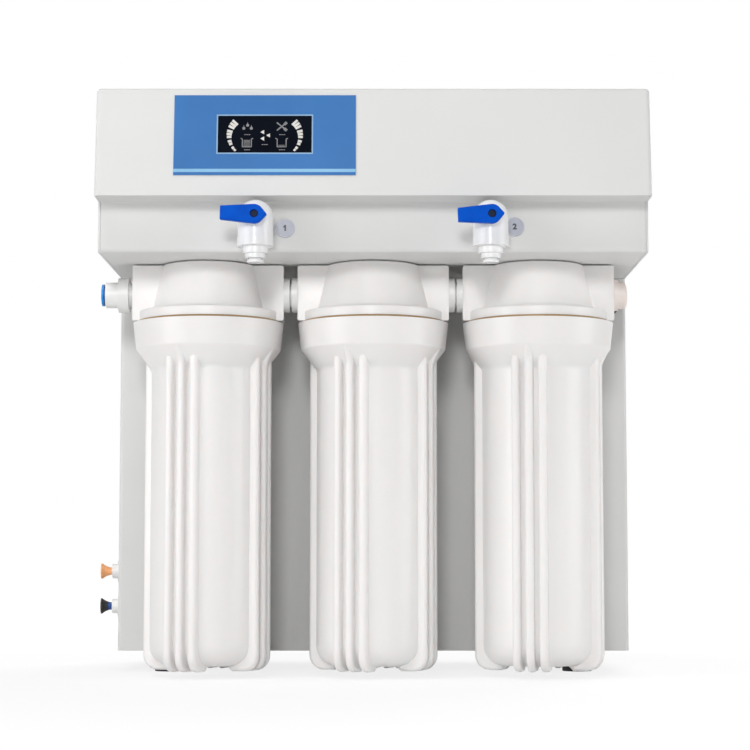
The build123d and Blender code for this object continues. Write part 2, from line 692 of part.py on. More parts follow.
def filter_bowl():
    """Sump about the Z axis: a threaded collar, a conical neck and grouped ribs."""
    axis = Vector(0, 0, 0)
    neck_top = SUMP_TOP - COLLAR_HEIGHT
    neck_foot = neck_top - NECK_HEIGHT
    inner_r = BODY_R - SUMP_WALL
    crest_r = BODY_R + RIB_REACH
    side_x = sqrt(crest_r**2 - RIB_SPACING**2)
    fins = [rib(place * RIB_SPACING, [(side_x, neck_top - RIB_DROP)]) for place in (-1, 1)]
    fins.append(rib(0, [(crest_r, neck_top - TALL_RIB_BEND), (COLLAR_LOW_R - SEAM, neck_top)]))
    with BuildPart() as sump:
        with BuildSketch(section_plane(axis, UP)) as outside:
            with BuildLine():
                FilletPolyline(
                    (0, SUMP_BASE),
                    (BODY_R, SUMP_BASE),
                    (BODY_R, neck_foot),
                    (COLLAR_LOW_R, neck_top),
                    (COLLAR_R, SUMP_TOP),
                    radius=[BODY_CORNER_R, NECK_FILLET, CONE_FILLET],
                )
                Polyline((COLLAR_R, SUMP_TOP), (0, SUMP_TOP), (0, SUMP_BASE))
            make_face()
        revolve(outside.sketch, axis=Axis(axis, UP))
        for group in range(RIB_GROUPS):
            heading = group * 360 / RIB_GROUPS
            for fin in fins:
                add(fin.moved(Location(axis, (0, 0, heading))))
        with BuildSketch(section_plane(axis, UP)) as inside:
            with BuildLine():
                FilletPolyline(
                    (0, SUMP_BASE + SUMP_WALL),
                    (inner_r, SUMP_BASE + SUMP_WALL),
                    (inner_r, neck_foot - SUMP_WALL),
                    (thread_r, neck_top),
                    radius=[BODY_CORNER_R - SUMP_WALL, BODY_CORNER_R],
                )
                Polyline(
                    (thread_r, neck_top),
                    (thread_r, SUMP_TOP - SEAL_GROOVE),
                    (thread_r + SEAL_WIDTH, SUMP_TOP - SEAL_GROOVE),
                    (thread_r + SEAL_WIDTH, SUMP_TOP),
                    (0, SUMP_TOP),
                    (0, SUMP_BASE + SUMP_WALL),
                )
            make_face()
        revolve(inside.sketch, axis=Axis(axis, UP), mode=Mode.SUBTRACT)
        turn(
            (
                (0, SUMP_BASE + SUMP_WALL / 2),
                (SEAT_R, SUMP_BASE + SUMP_WALL / 2),
                (SEAT_R, seat_z),
                (STUB_R, seat_z),
                (STUB_R, seat_z + STUB_HEIGHT),
                (0, seat_z + STUB_HEIGHT),
            ),
            axis,
            UP,
        )
    return sump.part


bowl = filter_bowl()


def filter_sump(name, x, turned):
    """The bowl under its head, its rib groups turned from the front."""
    with BuildPart() as sump:
        add(bowl.moved(Location((x, HOUSING_Y, 0), (0, 0, turned))))
    save(sump, name)


def sump_seal(name, x):
    """Flat ring in the collar's groove, filling the seam."""
    with BuildPart() as seal:
        turn(
            (
                (thread_r + SEAL_SLACK, SUMP_TOP - SEAL_GROOVE),
                (thread_r + SEAL_WIDTH - SEAL_SLACK, SUMP_TOP - SEAL_GROOVE),
                (thread_r + SEAL_WIDTH - SEAL_SLACK, FLANGE_Z - SEAL_SLACK),
                (thread_r + SEAL_SLACK, FLANGE_Z - SEAL_SLACK),
            ),
            Vector(x, HOUSING_Y, 0),
            UP,
        )
    save(seal, name)


def filter_cartridge(name, x):
    """Filter element: a thick sleeve between two end caps."""
    with BuildPart() as cartridge:
        turn(
            (
                (cartridge_bore_r, cartridge_foot),
                (CARTRIDGE_CAP_R, cartridge_foot),
                (CARTRIDGE_CAP_R, cartridge_foot + CARTRIDGE_CAP),
                (CARTRIDGE_R, cartridge_foot + CARTRIDGE_CAP),
                (CARTRIDGE_R, cartridge_top - CARTRIDGE_CAP),
                (CARTRIDGE_CAP_R, cartridge_top - CARTRIDGE_CAP),
                (CARTRIDGE_CAP_R, cartridge_top),
                (cartridge_bore_r, cartridge_top),
            ),
            Vector(x, HOUSING_Y, 0),
            UP,
        )
    save(cartridge, name)


for place, housing_x in HOUSING_X.items():
    filter_head(f"filter_head_{place}", housing_x)
    filter_sump(f"filter_sump_{place}", housing_x, SUMP_TURNS[place])
    sump_seal(f"sump_seal_{place}", housing_x)
    filter_cartridge(f"filter_cartridge_{place}", housing_x)

with BuildPart() as head_screws:
    for housing_x in HOUSING_X.values():
        for side in (LEFT, RIGHT):
            screw(Vector(housing_x, HOUSING_Y, UNDER_Z + SHEET) + side * BOSS_SCREW, DOWN)
save(head_screws, "head_screws")


def port_link(name, x):
    """Nipple between two heads, with a collar against each wing."""
    with BuildPart() as link:
        turn(
            (
                (PASSAGE_R, -FITTING_STUB),
                (FITTING_STUB_R, -FITTING_STUB),
                (FITTING_STUB_R, 0),
                (LINK_COLLAR_R, 0),
                (LINK_COLLAR_R, LINK_COLLAR),
                (LINK_NECK_R, LINK_COLLAR),
                (LINK_NECK_R, LINK_GAP - LINK_COLLAR),
                (LINK_COLLAR_R, LINK_GAP - LINK_COLLAR),
                (LINK_COLLAR_R, LINK_GAP),
                (FITTING_STUB_R, LINK_GAP),
                (FITTING_STUB_R, LINK_GAP + FITTING_STUB),
                (PASSAGE_R, LINK_GAP + FITTING_STUB),
            ),
            Vector(x + WING_HALF, HOUSING_Y, PORT_Z),
            RIGHT,
        )
    save(link, name)


port_link("port_link_left", HOUSING_X["left"])
port_link("port_link_right", HOUSING_X["middle"])

# Push-fit sizes that the fittings and collets share
collet_r = COLLET_BORE_R + COLLET_WALL
socket_r = collet_r + FIT
collet_proud = COLLET_LIP + COLLET_TRAVEL + FIT  # lip's outer face beyond the fitting
socket_depth = COLLET_LENGTH - COLLET_LIP  # takes the collet's inner end when pressed in


def collet(name, mouth, inward, lip_r):
    """Release collet: lipped sleeve for the tube."""
    with BuildPart() as sleeve:
        turn(
            (
                (COLLET_BORE_R, 0),
                (lip_r, 0),
                (lip_r, COLLET_LIP),
                (collet_r, COLLET_LIP),
                (collet_r, COLLET_LENGTH),
                (COLLET_BORE_R, COLLET_LENGTH),
            ),
            mouth,
            inward,
        )
    save(sleeve, name)


# Feed inlet on the left head
feed_face = Vector(HOUSING_X["left"] - WING_HALF, HOUSING_Y, PORT_Z)
feed_length = FEED_SHOULDER + FEED_COLLAR + FEED_BODY
with BuildPart() as feed_fitting:
    turn(
        (
            (PASSAGE_R, -FITTING_STUB),
            (FITTING_STUB_R, -FITTING_STUB),
            (FITTING_STUB_R, 0),
            (FEED_SHOULDER_R, 0),
            (FEED_SHOULDER_R, FEED_SHOULDER),
            (FEED_COLLAR_R, FEED_SHOULDER),
            (FEED_COLLAR_R, FEED_SHOULDER + FEED_COLLAR),
            (FEED_BODY_R, FEED_SHOULDER + FEED_COLLAR),
            (FEED_BODY_R, feed_length),
            (socket_r, feed_length),
            (socket_r, feed_length - socket_depth),
            (PASSAGE_R, feed_length - socket_depth),
        ),
        feed_face,
        LEFT,
    )
save(feed_fitting, "feed_fitting")
collet("feed_collet", feed_face + LEFT * (feed_length + collet_proud), RIGHT, FEED_LIP_R)

# Outlet elbow on the right head, turning back through the panel
elbow_face = Vector(HOUSING_X["right"] + WING_HALF, HOUSING_Y, PORT_Z)
leg_start = Vector(elbow_x, HOUSING_Y, PORT_Z)
with BuildPart() as outlet_elbow:
    turn(
        (
            (0, -FITTING_STUB),
            (FITTING_STUB_R, -FITTING_STUB),
            (FITTING_STUB_R, 0),
            (ELBOW_COLLAR_R, 0),
            (ELBOW_COLLAR_R, ELBOW_COLLAR),
            (ELBOW_KNUCKLE_R, ELBOW_COLLAR),
            (ELBOW_KNUCKLE_R, ELBOW_COLLAR + ELBOW_KNUCKLE),
            (0, ELBOW_COLLAR + ELBOW_KNUCKLE),
        ),
        elbow_face,
        RIGHT,
    )
    knuckle_end = outlet_elbow.faces().sort_by(Axis.X)[-1]
    fillet(knuckle_end.edges(), ELBOW_ROUND)
    rod(leg_start, BACK, ELBOW_LEG_R, ELBOW_LEG)
    stub_end = elbow_face + LEFT * FITTING_STUB
    drill(stub_end, RIGHT, TUBE_BORE_R, leg_start.X - stub_end.X)
    drill(leg_start + FRONT * PASSAGE_R, BACK, PASSAGE_R, ELBOW_LEG + PASSAGE_R)
save(outlet_elbow, "outlet_elbow")

vessel_y = SHEET + VESSEL_GAP + MEMBRANE_R
solenoid_x = elbow_x - SOLENOID_RUN - SOLENOID_SIZE[0] / 2
tube(
    "outlet_tube",
    (
        leg_start + BACK * (ELBOW_LEG - TUBE_SEAT),
        Vector(elbow_x, vessel_y, PORT_Z),
        Vector(elbow_x - SOLENOID_RUN, vessel_y, PORT_Z),
    ),
    TUBE_BEND_R,
)

with BuildPart() as tube_grommet:
    turn(
        (
            (TUBE_R + SEAM, -GROMMET_LIP),
            (GROMMET_R, -GROMMET_LIP),
            (GROMMET_R, 0),
            (GROMMET_R - GROMMET_LIP - SEAM, 0),
            (GROMMET_R - GROMMET_LIP - SEAM, SHEET),
            (GROMMET_R, SHEET),
            (GROMMET_R, SHEET + GROMMET_LIP),
            (TUBE_R + SEAM, SHEET + GROMMET_LIP),
        ),
        Vector(elbow_x, 0, PORT_Z),
        BACK,
    )
save(tube_grommet, "tube_grommet")

# Elbow valves
gland_front = VALVE_Y - VALVE_R - GLAND_PROUD
nozzle_end = VALVE_Z - LEG_DROP - STEP - TIP
lever_back = gland_front - LEVER_GAP


def valve_body(name, x):
    """Elbow body: domed hub from the band, leg with a stepped nozzle, ball seat and bores."""
    centre = Vector(x, VALVE_Y, VALVE_Z)
    with BuildPart() as body:
        rod(centre, BACK, VALVE_R, BAND_Y - VALVE_NECK - VALVE_Y)
        with Locations(centre):
            Sphere(VALVE_R)
        rod(centre, FRONT, GLAND_R, VALVE_Y - gland_front)
        rod(centre, DOWN, LEG_R, LEG_DROP)
        rod(centre + DOWN * LEG_DROP, UP, LEG_COLLAR_R, LEG_COLLAR)
        rod(Vector(x, BAND_Y, VALVE_Z), FRONT, VALVE_NECK_R, VALVE_NECK)
        rod(Vector(x, BAND_Y, VALVE_Z), BACK, TAIL_R, TAIL)
        turn(
            (
                (0, LEG_DROP),
                (STEP_R, LEG_DROP),
                (STEP_R, LEG_DROP + STEP),
                (TIP_R, LEG_DROP + STEP),
                (TIP_R, LEG_DROP + STEP + TIP),
                (0, LEG_DROP + STEP + TIP),
            ),
            centre,
            DOWN,
        )
        with Locations(centre):
            Sphere(BALL_R + FIT, mode=Mode.SUBTRACT)
        drill(centre, FRONT, STEM_R + STEM_GAP, VALVE_Y - gland_front)
        drill(centre, BACK, PASSAGE_R, BAND_Y + TAIL - VALVE_Y)
        drill(centre, DOWN, PASSAGE_R, LEG_DROP + STEP + TIP)
        drill(Vector(x, VALVE_Y, nozzle_end), UP, socket_r, socket_depth)
    save(body, name)


def valve_lever(name, x, tilt):
    """Handle with a pointed tip, a screw recess and the stem's socket."""
    handle = Plane(
        origin=(x, lever_back, VALVE_Z),
        x_dir=(cos(radians(tilt)), 0, -sin(radians(tilt))),
        z_dir=FRONT,
    )
    with BuildPart() as lever:
        with BuildSketch(handle) as outline:
            Circle(LEVER_HUB_R)
            with Locations((LEVER_TIP - LEVER_TIP_R, 0)):
                Circle(LEVER_TIP_R)
            with Locations((LEVER_END / 2 - LEVER_LENGTH, 0)):
                RectangleRounded(LEVER_END, LEVER_END, LEVER_TIP_R)
            make_hull()
        extrude(amount=LEVER_T)
        fillet(lever.faces().sort_by(Axis.Y)[0].edges(), LEVER_ROUND)
        drill(Vector(x, lever_back - LEVER_T, VALVE_Z), BACK, LEVER_RECESS_R, LEVER_RECESS)
        drill(Vector(x, lever_back, VALVE_Z), FRONT, STEM_R, LEVER_SOCKET)
    save(lever, name)


def valve_stem(name, x):
    """Stem from the ball's flat into the lever's socket."""
    with BuildPart() as stem:
        stem_start = Vector(x, VALVE_Y - BALL_FLAT, VALVE_Z)
        rod(stem_start, FRONT, STEM_R, stem_start.Y - lever_back + LEVER_SOCKET)
    save(stem, name)


def valve_ball(name, x):
    """Ball with an angled port: in at the back, out towards the lever's handle."""
    centre = Vector(x, VALVE_Y, VALVE_Z)
    with BuildPart() as ball:
        with Locations(centre):
            Sphere(BALL_R)
        split(bisect_by=Plane(origin=centre + FRONT * BALL_FLAT, z_dir=FRONT), keep=Keep.BOTTOM)
        drill(centre + FRONT * PASSAGE_R, BACK, PASSAGE_R, BALL_R + PASSAGE_R)
        drill(centre, LEFT, PASSAGE_R - FIT, BALL_R)
    save(ball, name)


for side, valve_at in VALVE_X.items():
    valve_body(f"valve_body_{side}", valve_at)
    valve_lever(f"valve_lever_{side}", valve_at, LEVER_TILT[side])
    valve_stem(f"valve_stem_{side}", valve_at)
    valve_ball(f"valve_ball_{side}", valve_at)
    mouth = Vector(valve_at, VALVE_Y, nozzle_end - collet_proud)
    collet(f"valve_collet_{side}", mouth, UP, OUTLET_LIP_R)

with BuildPart() as valve_nuts:
    with BuildSketch(Plane.XZ.offset(-BAND_Y - SHEET)):
        with Locations(*[(valve_at, VALVE_Z) for valve_at in VALVE_X.values()]):
            RegularPolygon(NUT_WIDTH / 2, 6, major_radius=False)
            Circle(TAIL_R + SEAM, mode=Mode.SUBTRACT)
    extrude(amount=-NUT)
save(valve_nuts, "valve_nuts")

with BuildPart() as label_discs:
    with BuildSketch(Plane.XZ.offset(-BAND_Y)):
        for side, (beside, up) in DISCS.items():
            with Locations((VALVE_X[side] + beside, UNDER_Z + up)):
                Circle(DISC_R)
    extrude(amount=DISC_T)
save(label_discs, "label_discs")

# Side drain ports, each closed by a flared plug
nose_end = PORT_FLANGE + PORT_NOSE
with BuildPart() as side_ports:
    for height in PORT_HEIGHTS.values():
        turn(
            (
                (PLUG_STEM_R + FIT, -PORT_BARREL),
                (PORT_BARREL_R, -PORT_BARREL),
                (PORT_BARREL_R, 0),
                (PORT_FLANGE_R, 0),
                (PORT_FLANGE_R, PORT_FLANGE),
                (PORT_NOSE_R, PORT_FLANGE),
                (PORT_NOSE_R, nose_end),
                (PLUG_STEM_R + FIT, nose_end),
            ),
            Vector(LEFT_WALL, PORT_Y, height),
            LEFT,
        )
save(side_ports, "side_ports")


def port_plug(name, height):
    """Plug: stem in the port, neck, and a trumpet flare to pull it by."""
    seat = Vector(LEFT_WALL - nose_end, PORT_Y, height)
    with BuildPart() as plug:
        with BuildSketch(section_plane(seat, LEFT)) as outline:
            with BuildLine():
                Polyline(
                    (0, -PLUG_STEM),
                    (PLUG_STEM_R, -PLUG_STEM),
                    (PLUG_STEM_R, 0),
                    (PLUG_NECK_R, 0),
                )
                flare = ThreePointArc(
                    (PLUG_NECK_R, 0),
                    (PLUG_WAIST_R, PLUG_WAIST),
                    (PLUG_FLARE_R, PLUG_FLARE - PLUG_RIM),
                )
                Polyline(flare @ 1, (PLUG_FLARE_R, PLUG_FLARE), (0, PLUG_FLARE), (0, -PLUG_STEM))
            make_face()
        revolve(outline.sketch, axis=Axis(seat, LEFT))
    save(plug, name)


for level, height in PORT_HEIGHTS.items():
    port_plug(f"port_plug_{level}", height)

# Booster pump on its rubber mounts, its head's ports to the front and the back
plate_z = FLOOR_Z + PUMP_MOUNT
pump_axis_z = plate_z + PUMP_PLATE + MOTOR_R
pump_length = MOTOR_LENGTH + PUMP_HEAD_LENGTH
floor_gap = (WIDTH - 2 * SHEET - pump_length - SUPPLY_SIZE[0]) / 3  # beside and between
pump_left = LEFT_WALL + SHEET + floor_gap
pump_x = pump_left + pump_length / 2
pump_y = CABINET_DEPTH - PUMP_REAR_GAP - VESSEL_PORT - PUMP_HEAD / 2
with BuildPart() as booster_pump:
    block((pump_length, PUMP_PLATE_WIDTH, PUMP_PLATE), (pump_x, pump_y, plate_z))
    saddle = (MOTOR_LENGTH, MOTOR_R, MOTOR_R)
    block(saddle, (pump_left + MOTOR_LENGTH / 2, pump_y, plate_z))
    rod(Vector(pump_left, pump_y, pump_axis_z), RIGHT, MOTOR_R, MOTOR_LENGTH)
    head_at = Vector(pump_left + MOTOR_LENGTH, pump_y, pump_axis_z)
    with BuildSketch(Plane(origin=head_at, x_dir=BACK, z_dir=RIGHT)) as pump_head:
        RectangleRounded(PUMP_HEAD, PUMP_HEAD, VESSEL_ROUND)
    extrude(pump_head.sketch, amount=PUMP_HEAD_LENGTH)
    for port_side in (FRONT, BACK):
        port_at = head_at + RIGHT * (PUMP_HEAD_LENGTH / 2) + port_side * (PUMP_HEAD / 2)
        rod(port_at, port_side, VESSEL_PORT_R, VESSEL_PORT)
save(booster_pump, "booster_pump")

with BuildPart() as pump_mounts:
    mount_across = pump_length - 4 * PUMP_MOUNT_R
    mount_deep = PUMP_PLATE_WIDTH - 2 * PUMP_MOUNT_R
    with BuildSketch(Plane((pump_x, pump_y, FLOOR_Z))):
        with GridLocations(mount_across, mount_deep, 2, 2):
            Circle(PUMP_MOUNT_R)
    extrude(amount=PUMP_MOUNT)
save(pump_mounts, "pump_mounts")

# Power supply on the base plate
supply_x = RIGHT_WALL - SHEET - floor_gap - SUPPLY_SIZE[0] / 2
supply_y = CABINET_DEPTH - INLET_BODY_DEPTH - SUPPLY_REAR_GAP - SUPPLY_SIZE[1] / 2
with BuildPart() as power_supply:
    block(SUPPLY_SIZE, (supply_x, supply_y, FLOOR_Z))
    fillet(power_supply.edges().filter_by(Axis.Z), SUPPLY_ROUND)
save(power_supply, "power_supply")

# Membrane and deionising vessels, upright behind the panel and under their valves
vessel_port_z = VALVE_Z - VESSEL_DROP
cap_top = vessel_port_z - VESSEL_PORT
cap_z = cap_top - VESSEL_CAP


def vessel(name, x, radius, foot_z):
    """Pressure vessel with a rounded foot, a screw cap and a top port."""
    cap_r = radius + VESSEL_CAP_OVER
    with BuildPart() as tank:
        turn(
            (
                (0, foot_z),
                (radius, foot_z),
                (radius, cap_z),
                (cap_r, cap_z),
                (cap_r, cap_top),
                (VESSEL_PORT_R, cap_top),
                (VESSEL_PORT_R, vessel_port_z),
                (0, vessel_port_z),
            ),
            Vector(x, vessel_y, 0),
            UP,
        )
        fillet(tank.faces().sort_by(Axis.Z)[0].edges(), VESSEL_ROUND)
        drill(Vector(x, vessel_y, vessel_port_z), DOWN, PASSAGE_R, TUBE_SEAT)
    save(tank, name)


vessels = (
    ("membrane_vessel", VALVE_X["left"], MEMBRANE_R, pump_axis_z + MOTOR_R + VESSEL_CLEAR),
    ("deioniser_vessel", VALVE_X["right"], DEIONISER_R, FLOOR_Z + SUPPLY_SIZE[2] + VESSEL_CLEAR),
)
for name, tank_x, tank_r, foot_z in vessels:
    vessel(name, tank_x, tank_r, foot_z)

with BuildPart() as vessel_clips:
    for name, tank_x, tank_r, foot_z in vessels:
        for clip_z in (foot_z + CLIP_INSET, cap_z - CLIP_INSET):
            with BuildSketch(Plane((tank_x, vessel_y, clip_z))) as ring:
                Circle(tank_r + CLIP_T)
                with Locations((0, -vessel_y / 2 + SHEET / 2)):
                    Rectangle(tank_r, vessel_y - SHEET)
                Circle(tank_r + SEAM, mode=Mode.SUBTRACT)
                with Locations((0, tank_r)):
                    Rectangle(CLIP_MOUTH, tank_r, mode=Mode.SUBTRACT)
            extrude(ring.sketch, amount=CLIP_HEIGHT)
save(vessel_clips, "vessel_clips")

# Product tubes from the vessels' ports to the valves' tails
for side, valve_at in VALVE_X.items():
    tube(
        f"product_tube_{side}",
        (
            Vector(valve_at, BAND_Y + TAIL - TUBE_SEAT, VALVE_Z),
            Vector(valve_at, vessel_y, VALVE_Z),
            Vector(valve_at, vessel_y, vessel_port_z - TUBE_SEAT),
        ),
        TUBE_BEND_R,
    )

# Shut-off solenoid against the panel, on the outlet tube
with BuildPart() as solenoid_valve:
    across, deep, tall = SOLENOID_SIZE
    solenoid_rear = vessel_y + deep / 2
    solenoid_z = PORT_Z - tall / 2
    solenoid_box = (across, solenoid_rear - SHEET, tall)
    block(solenoid_box, (solenoid_x, (SHEET + solenoid_rear) / 2, solenoid_z))
    block(COIL_SIZE, (solenoid_x, vessel_y, solenoid_z - COIL_SIZE[2]))
    drill(Vector(solenoid_x + across / 2, vessel_y, PORT_Z), LEFT, TUBE_BORE_R, across / 2)
save(solenoid_valve, "solenoid_valve")

# Feed pressure switch on the panel's back
with BuildPart() as pressure_switch:
    switch_at = Vector(MID_X, SHEET, SWITCH_Z)
    rod(switch_at, BACK, SWITCH_R, SWITCH_LENGTH)
    rod(switch_at + BACK * SWITCH_LENGTH, BACK, VESSEL_PORT_R, VESSEL_PORT)
save(pressure_switch, "pressure_switch")

# Mains inlet: flanged socket with three blades
inlet_at = Vector(INLET_X, CABINET_DEPTH, INLET_Z)
INLET = Plane(origin=inlet_at, x_dir=LEFT, z_dir=BACK)
with BuildPart() as power_inlet:
    with BuildSketch(INLET) as flange:
        RectangleRounded(INLET_FLANGE[0], INLET_FLANGE[1], CORNER_R)
    extrude(flange.sketch, amount=INLET_FLANGE_T)
    with BuildSketch(INLET) as body:
        Rectangle(INLET_BODY[0], INLET_BODY[1])
    extrude(body.sketch, amount=-INLET_BODY_DEPTH)
    with BuildSketch(INLET.offset(INLET_FLANGE_T)) as socket:
        Rectangle(INLET_SOCKET[0], INLET_SOCKET[1])
    extrude(socket.sketch, amount=-INLET_SOCKET_DEPTH, mode=Mode.SUBTRACT)
    with BuildSketch(INLET.offset(INLET_FLANGE_T - INLET_SOCKET_DEPTH)) as blades:
        with Locations(
            (-BLADE_SPACING, -BLADE_OFFSET),
            (0, BLADE_OFFSET),
            (BLADE_SPACING, -BLADE_OFFSET),
        ):
            Rectangle(BLADE[0], BLADE[1])
    extrude(blades.sketch, amount=BLADE_LENGTH)
save(power_inlet, "power_inlet")

# Mains rocker in its frame
rocker_at = Vector(INLET_X, CABINET_DEPTH, rocker_z)
ROCKER = Plane(origin=rocker_at, x_dir=LEFT, z_dir=BACK)
with BuildPart() as rocker_frame:
    with BuildSketch(ROCKER) as rim:
        Rectangle(ROCKER_SIZE[0] + ROCKER_FRAME, ROCKER_SIZE[1] + ROCKER_FRAME)
        fillet(rim.vertices(), ROCKER_FRAME / 4)
    extrude(rim.sketch, amount=ROCKER_FRAME_T)
    with BuildSketch(ROCKER) as can:
        Rectangle(ROCKER_SIZE[0], ROCKER_SIZE[1])
    extrude(can.sketch, amount=-ROCKER_DEPTH - SHEET)
    with BuildSketch(ROCKER.offset(-ROCKER_DEPTH)) as well:
        Rectangle(ROCKER_SIZE[0] - ROCKER_FRAME, ROCKER_SIZE[1] - ROCKER_FRAME)
    extrude(well.sketch, amount=ROCKER_DEPTH + ROCKER_FRAME_T, mode=Mode.SUBTRACT)
save(rocker_frame, "rocker_frame")

with BuildPart() as power_rocker:
    rocker_width = ROCKER_SIZE[0] - ROCKER_FRAME - 2 * FIT
    half_height = (ROCKER_SIZE[1] - ROCKER_FRAME) / 2 - FIT
    reach = ROCKER_PIVOT + ROCKER_FRAME_T
    taper = reach * tan(radians(ROCKER_TILT / 2))
    pivot = rocker_at + FRONT * ROCKER_PIVOT
    rest = radians(-ROCKER_TILT / 2)
    with BuildSketch(Plane(origin=pivot, x_dir=(0, cos(rest), sin(rest)), z_dir=RIGHT)) as key:
        with BuildLine():
            ThreePointArc((0, half_height), (-half_height, 0), (0, -half_height))
            Polyline(
                (0, -half_height),
                (reach, taper - half_height),
                (reach - ROCKER_DIP, 0),
                (reach, half_height - taper),
                (0, half_height),
            )
        make_face()
    extrude(key.sketch, amount=rocker_width / 2, both=True)
save(power_rocker, "power_rocker")
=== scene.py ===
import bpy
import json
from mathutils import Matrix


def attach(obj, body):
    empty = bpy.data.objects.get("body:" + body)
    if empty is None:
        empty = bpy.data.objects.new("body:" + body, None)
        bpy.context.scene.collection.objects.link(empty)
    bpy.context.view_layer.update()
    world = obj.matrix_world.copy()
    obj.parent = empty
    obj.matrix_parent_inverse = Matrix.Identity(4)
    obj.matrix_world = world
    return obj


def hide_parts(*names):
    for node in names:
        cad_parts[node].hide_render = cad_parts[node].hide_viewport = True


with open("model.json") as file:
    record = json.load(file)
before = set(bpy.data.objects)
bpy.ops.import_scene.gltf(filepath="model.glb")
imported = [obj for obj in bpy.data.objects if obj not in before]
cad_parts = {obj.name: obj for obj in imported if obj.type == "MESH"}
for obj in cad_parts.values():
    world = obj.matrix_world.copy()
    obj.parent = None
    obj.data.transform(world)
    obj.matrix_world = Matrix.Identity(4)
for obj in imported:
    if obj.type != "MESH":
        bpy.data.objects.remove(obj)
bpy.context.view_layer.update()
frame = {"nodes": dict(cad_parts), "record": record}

import json
from math import cos, radians, sin

import bpy
from mathutils import Matrix, Vector

MM = 0.001
scene = bpy.context.scene

# Sizes that the dressing shares with the solids, in millimetres
MID_X = 8.0  # middle of the casing
LIP_Y = -162.0  # foot of the sloping face
LIP_Z = 334.1
FACE_RISE = 77.2
FACE_LEAN = 9.2
OVERLAY_X = -75.0  # from the middle of the casing
OVERLAY_WIDTH = 126.0
OVERLAY_T = 0.6
WINDOW_AT = (-75.0, 43.9)  # across from the middle, up from the lip
WINDOW_SIZE = (66.3, 28.0)
WINDOW_TOP = 0.5
# Where each valve is across, and each label disc across and up
VALVES = {"left": -73.0, "right": 89.0}
DISCS = {"left": (-53.5, 315.1), "right": (107.0, 316.1)}
VALVE_Z = 318.8
LEG_FRONT = -172.2
LEVER_FRONT = -179.5
LEVER_RECESS = 2.6
DISC_FRONT = -137.8
DISC_R = 6.6
REAR_Y = 178.0
COVER_SCREW_COLUMNS = (176.5, -192.5)  # across as seen from behind
COVER_SCREW_ROWS = (35.0, 150.0, 265.0)
COVER_SCREWS = [(across, up) for across in COVER_SCREW_COLUMNS for up in COVER_SCREW_ROWS]
# Each blade's name, x and z
BLADES = (("blade_left", 126.0, 60.0), ("blade_earth", 133.0, 64.0), ("blade_right", 140.0, 60.0))
BLADE_ROOT = 164.5
ROCKER_PIVOT = (133.0, 175.0, 100.0)
ROCKER_REST = 10.0  # degrees that the key leans at rest
ROCKER_DISH = 7.8  # degrees that each half of its face slopes
PLUG_BLUE_X = -194.6  # where the lower plug turns blue

# Print on the control panel
PRINT_T = 0.10  # thickness of the ink, part of it sunk
PRINT_SUNK = 0.04
PRINT_EDGE = 0.03
STRIPE_V = 17.7  # up from the lip
STRIPE_HEIGHT = 2.3
STRIPE_MARGIN = 0.1
BORDER = 0.95
BORDER_OVERLAP = 0.3

# Marks on the display, placed from the window's middle
ARC_CENTRE = (-10.45, -1.5)
ARC_R = 14.25
ARC_TOP = 136.0  # degrees
ARC_FOOT = 224.0
BAR_GROUPS = (3, 3, 2, 2)
BAR_STEP = 8.2  # degrees from bar to bar
GROUP_GAP = 4.7
BAR_LONG = 5.0
BAR_SHORT = 1.5
BAR_WIDTH = 1.75
BEAKER_FULL_AT = (-12.4, -6.3)
BEAKER_FULL_LINES = 5
BEAKER_EMPTY_AT = (11.7, -6.3)
BEAKER_EMPTY_LINES = 1
BEAKER_WIDTH = 6.2
BEAKER_HEIGHT = 5.6
BEAKER_LINE = 0.6
SPOUT_LENGTH = 1.5
SPOUT_OUT = 0.5
SPOUT_UP = 0.2
SPOUT_LEAN = 30
FILL_FOOT = 1.1
FILL_STEP = 0.9
FILL_SHORT = 1.6
FILL_LINE = 0.35
DROPS_AT = (-12.0, 5.3)
DROP_PLACES = ((-2.6, -1.0), (0, 1.2), (2.6, -1.0))
DROP_R = 1.05
DROP_CORNERS = 24
DROP_POINT = 1.5
CROSSED_AT = (11.7, 5.6)
CROSSED_BAR = (9.0, 0.9)  # length, width
CROSSED_BLOCK = (2.4, 1.9)
CROSSED_BLOCK_AT = (2.6, 2.2)
CROSSED_LEAN = 40
POINTERS_AT = (0.0, -0.8)
POINTER_COUNT = 3
POINTER_R = 1.75
POINTER_RING_R = 2.7
RULES_AT = ((-12.2, -0.3), (12.0, -0.3), (0.0, -7.5), (-12.2, -11.3), (12.0, -11.3))
RULE_PLACES = (-1.5, 0, 1.5)
RULE_SIZE = (1.1, 0.5)

# Label discs
RIM_WIDTH = 0.8
RIM_HEIGHT = 0.45
RIM_EDGE = 0.16
RIM_SUNK = 0.05
FIGURE_SIZE = 5.4
FIGURE_T = 0.1
FIGURE_BOLD = 0.3
FIGURE_FLAG = (-0.75, 1.2, 1.6, 0.8, 35)  # stroke beside the top of the bar that is figure one
FIGURE_MERGE = 0.001

# Screws, the cross recess as shares of the head's radius and height
LEVER_SCREW = {"radius": 2.6, "head": 1.4, "edge": 0.35}
COVER_SCREW = {"radius": 3.5, "head": 2.0, "edge": 1.1, "shank_r": 1.5, "shank": 9.0}
CROSS_SPAN = 1.2
CROSS_LINE = 0.28
CROSS_FLOOR = 0.45
HEAD_STEPS = 4
FACING = 0.9  # least part of a face's normal along the screw
SMOOTH_ANGLE = 35

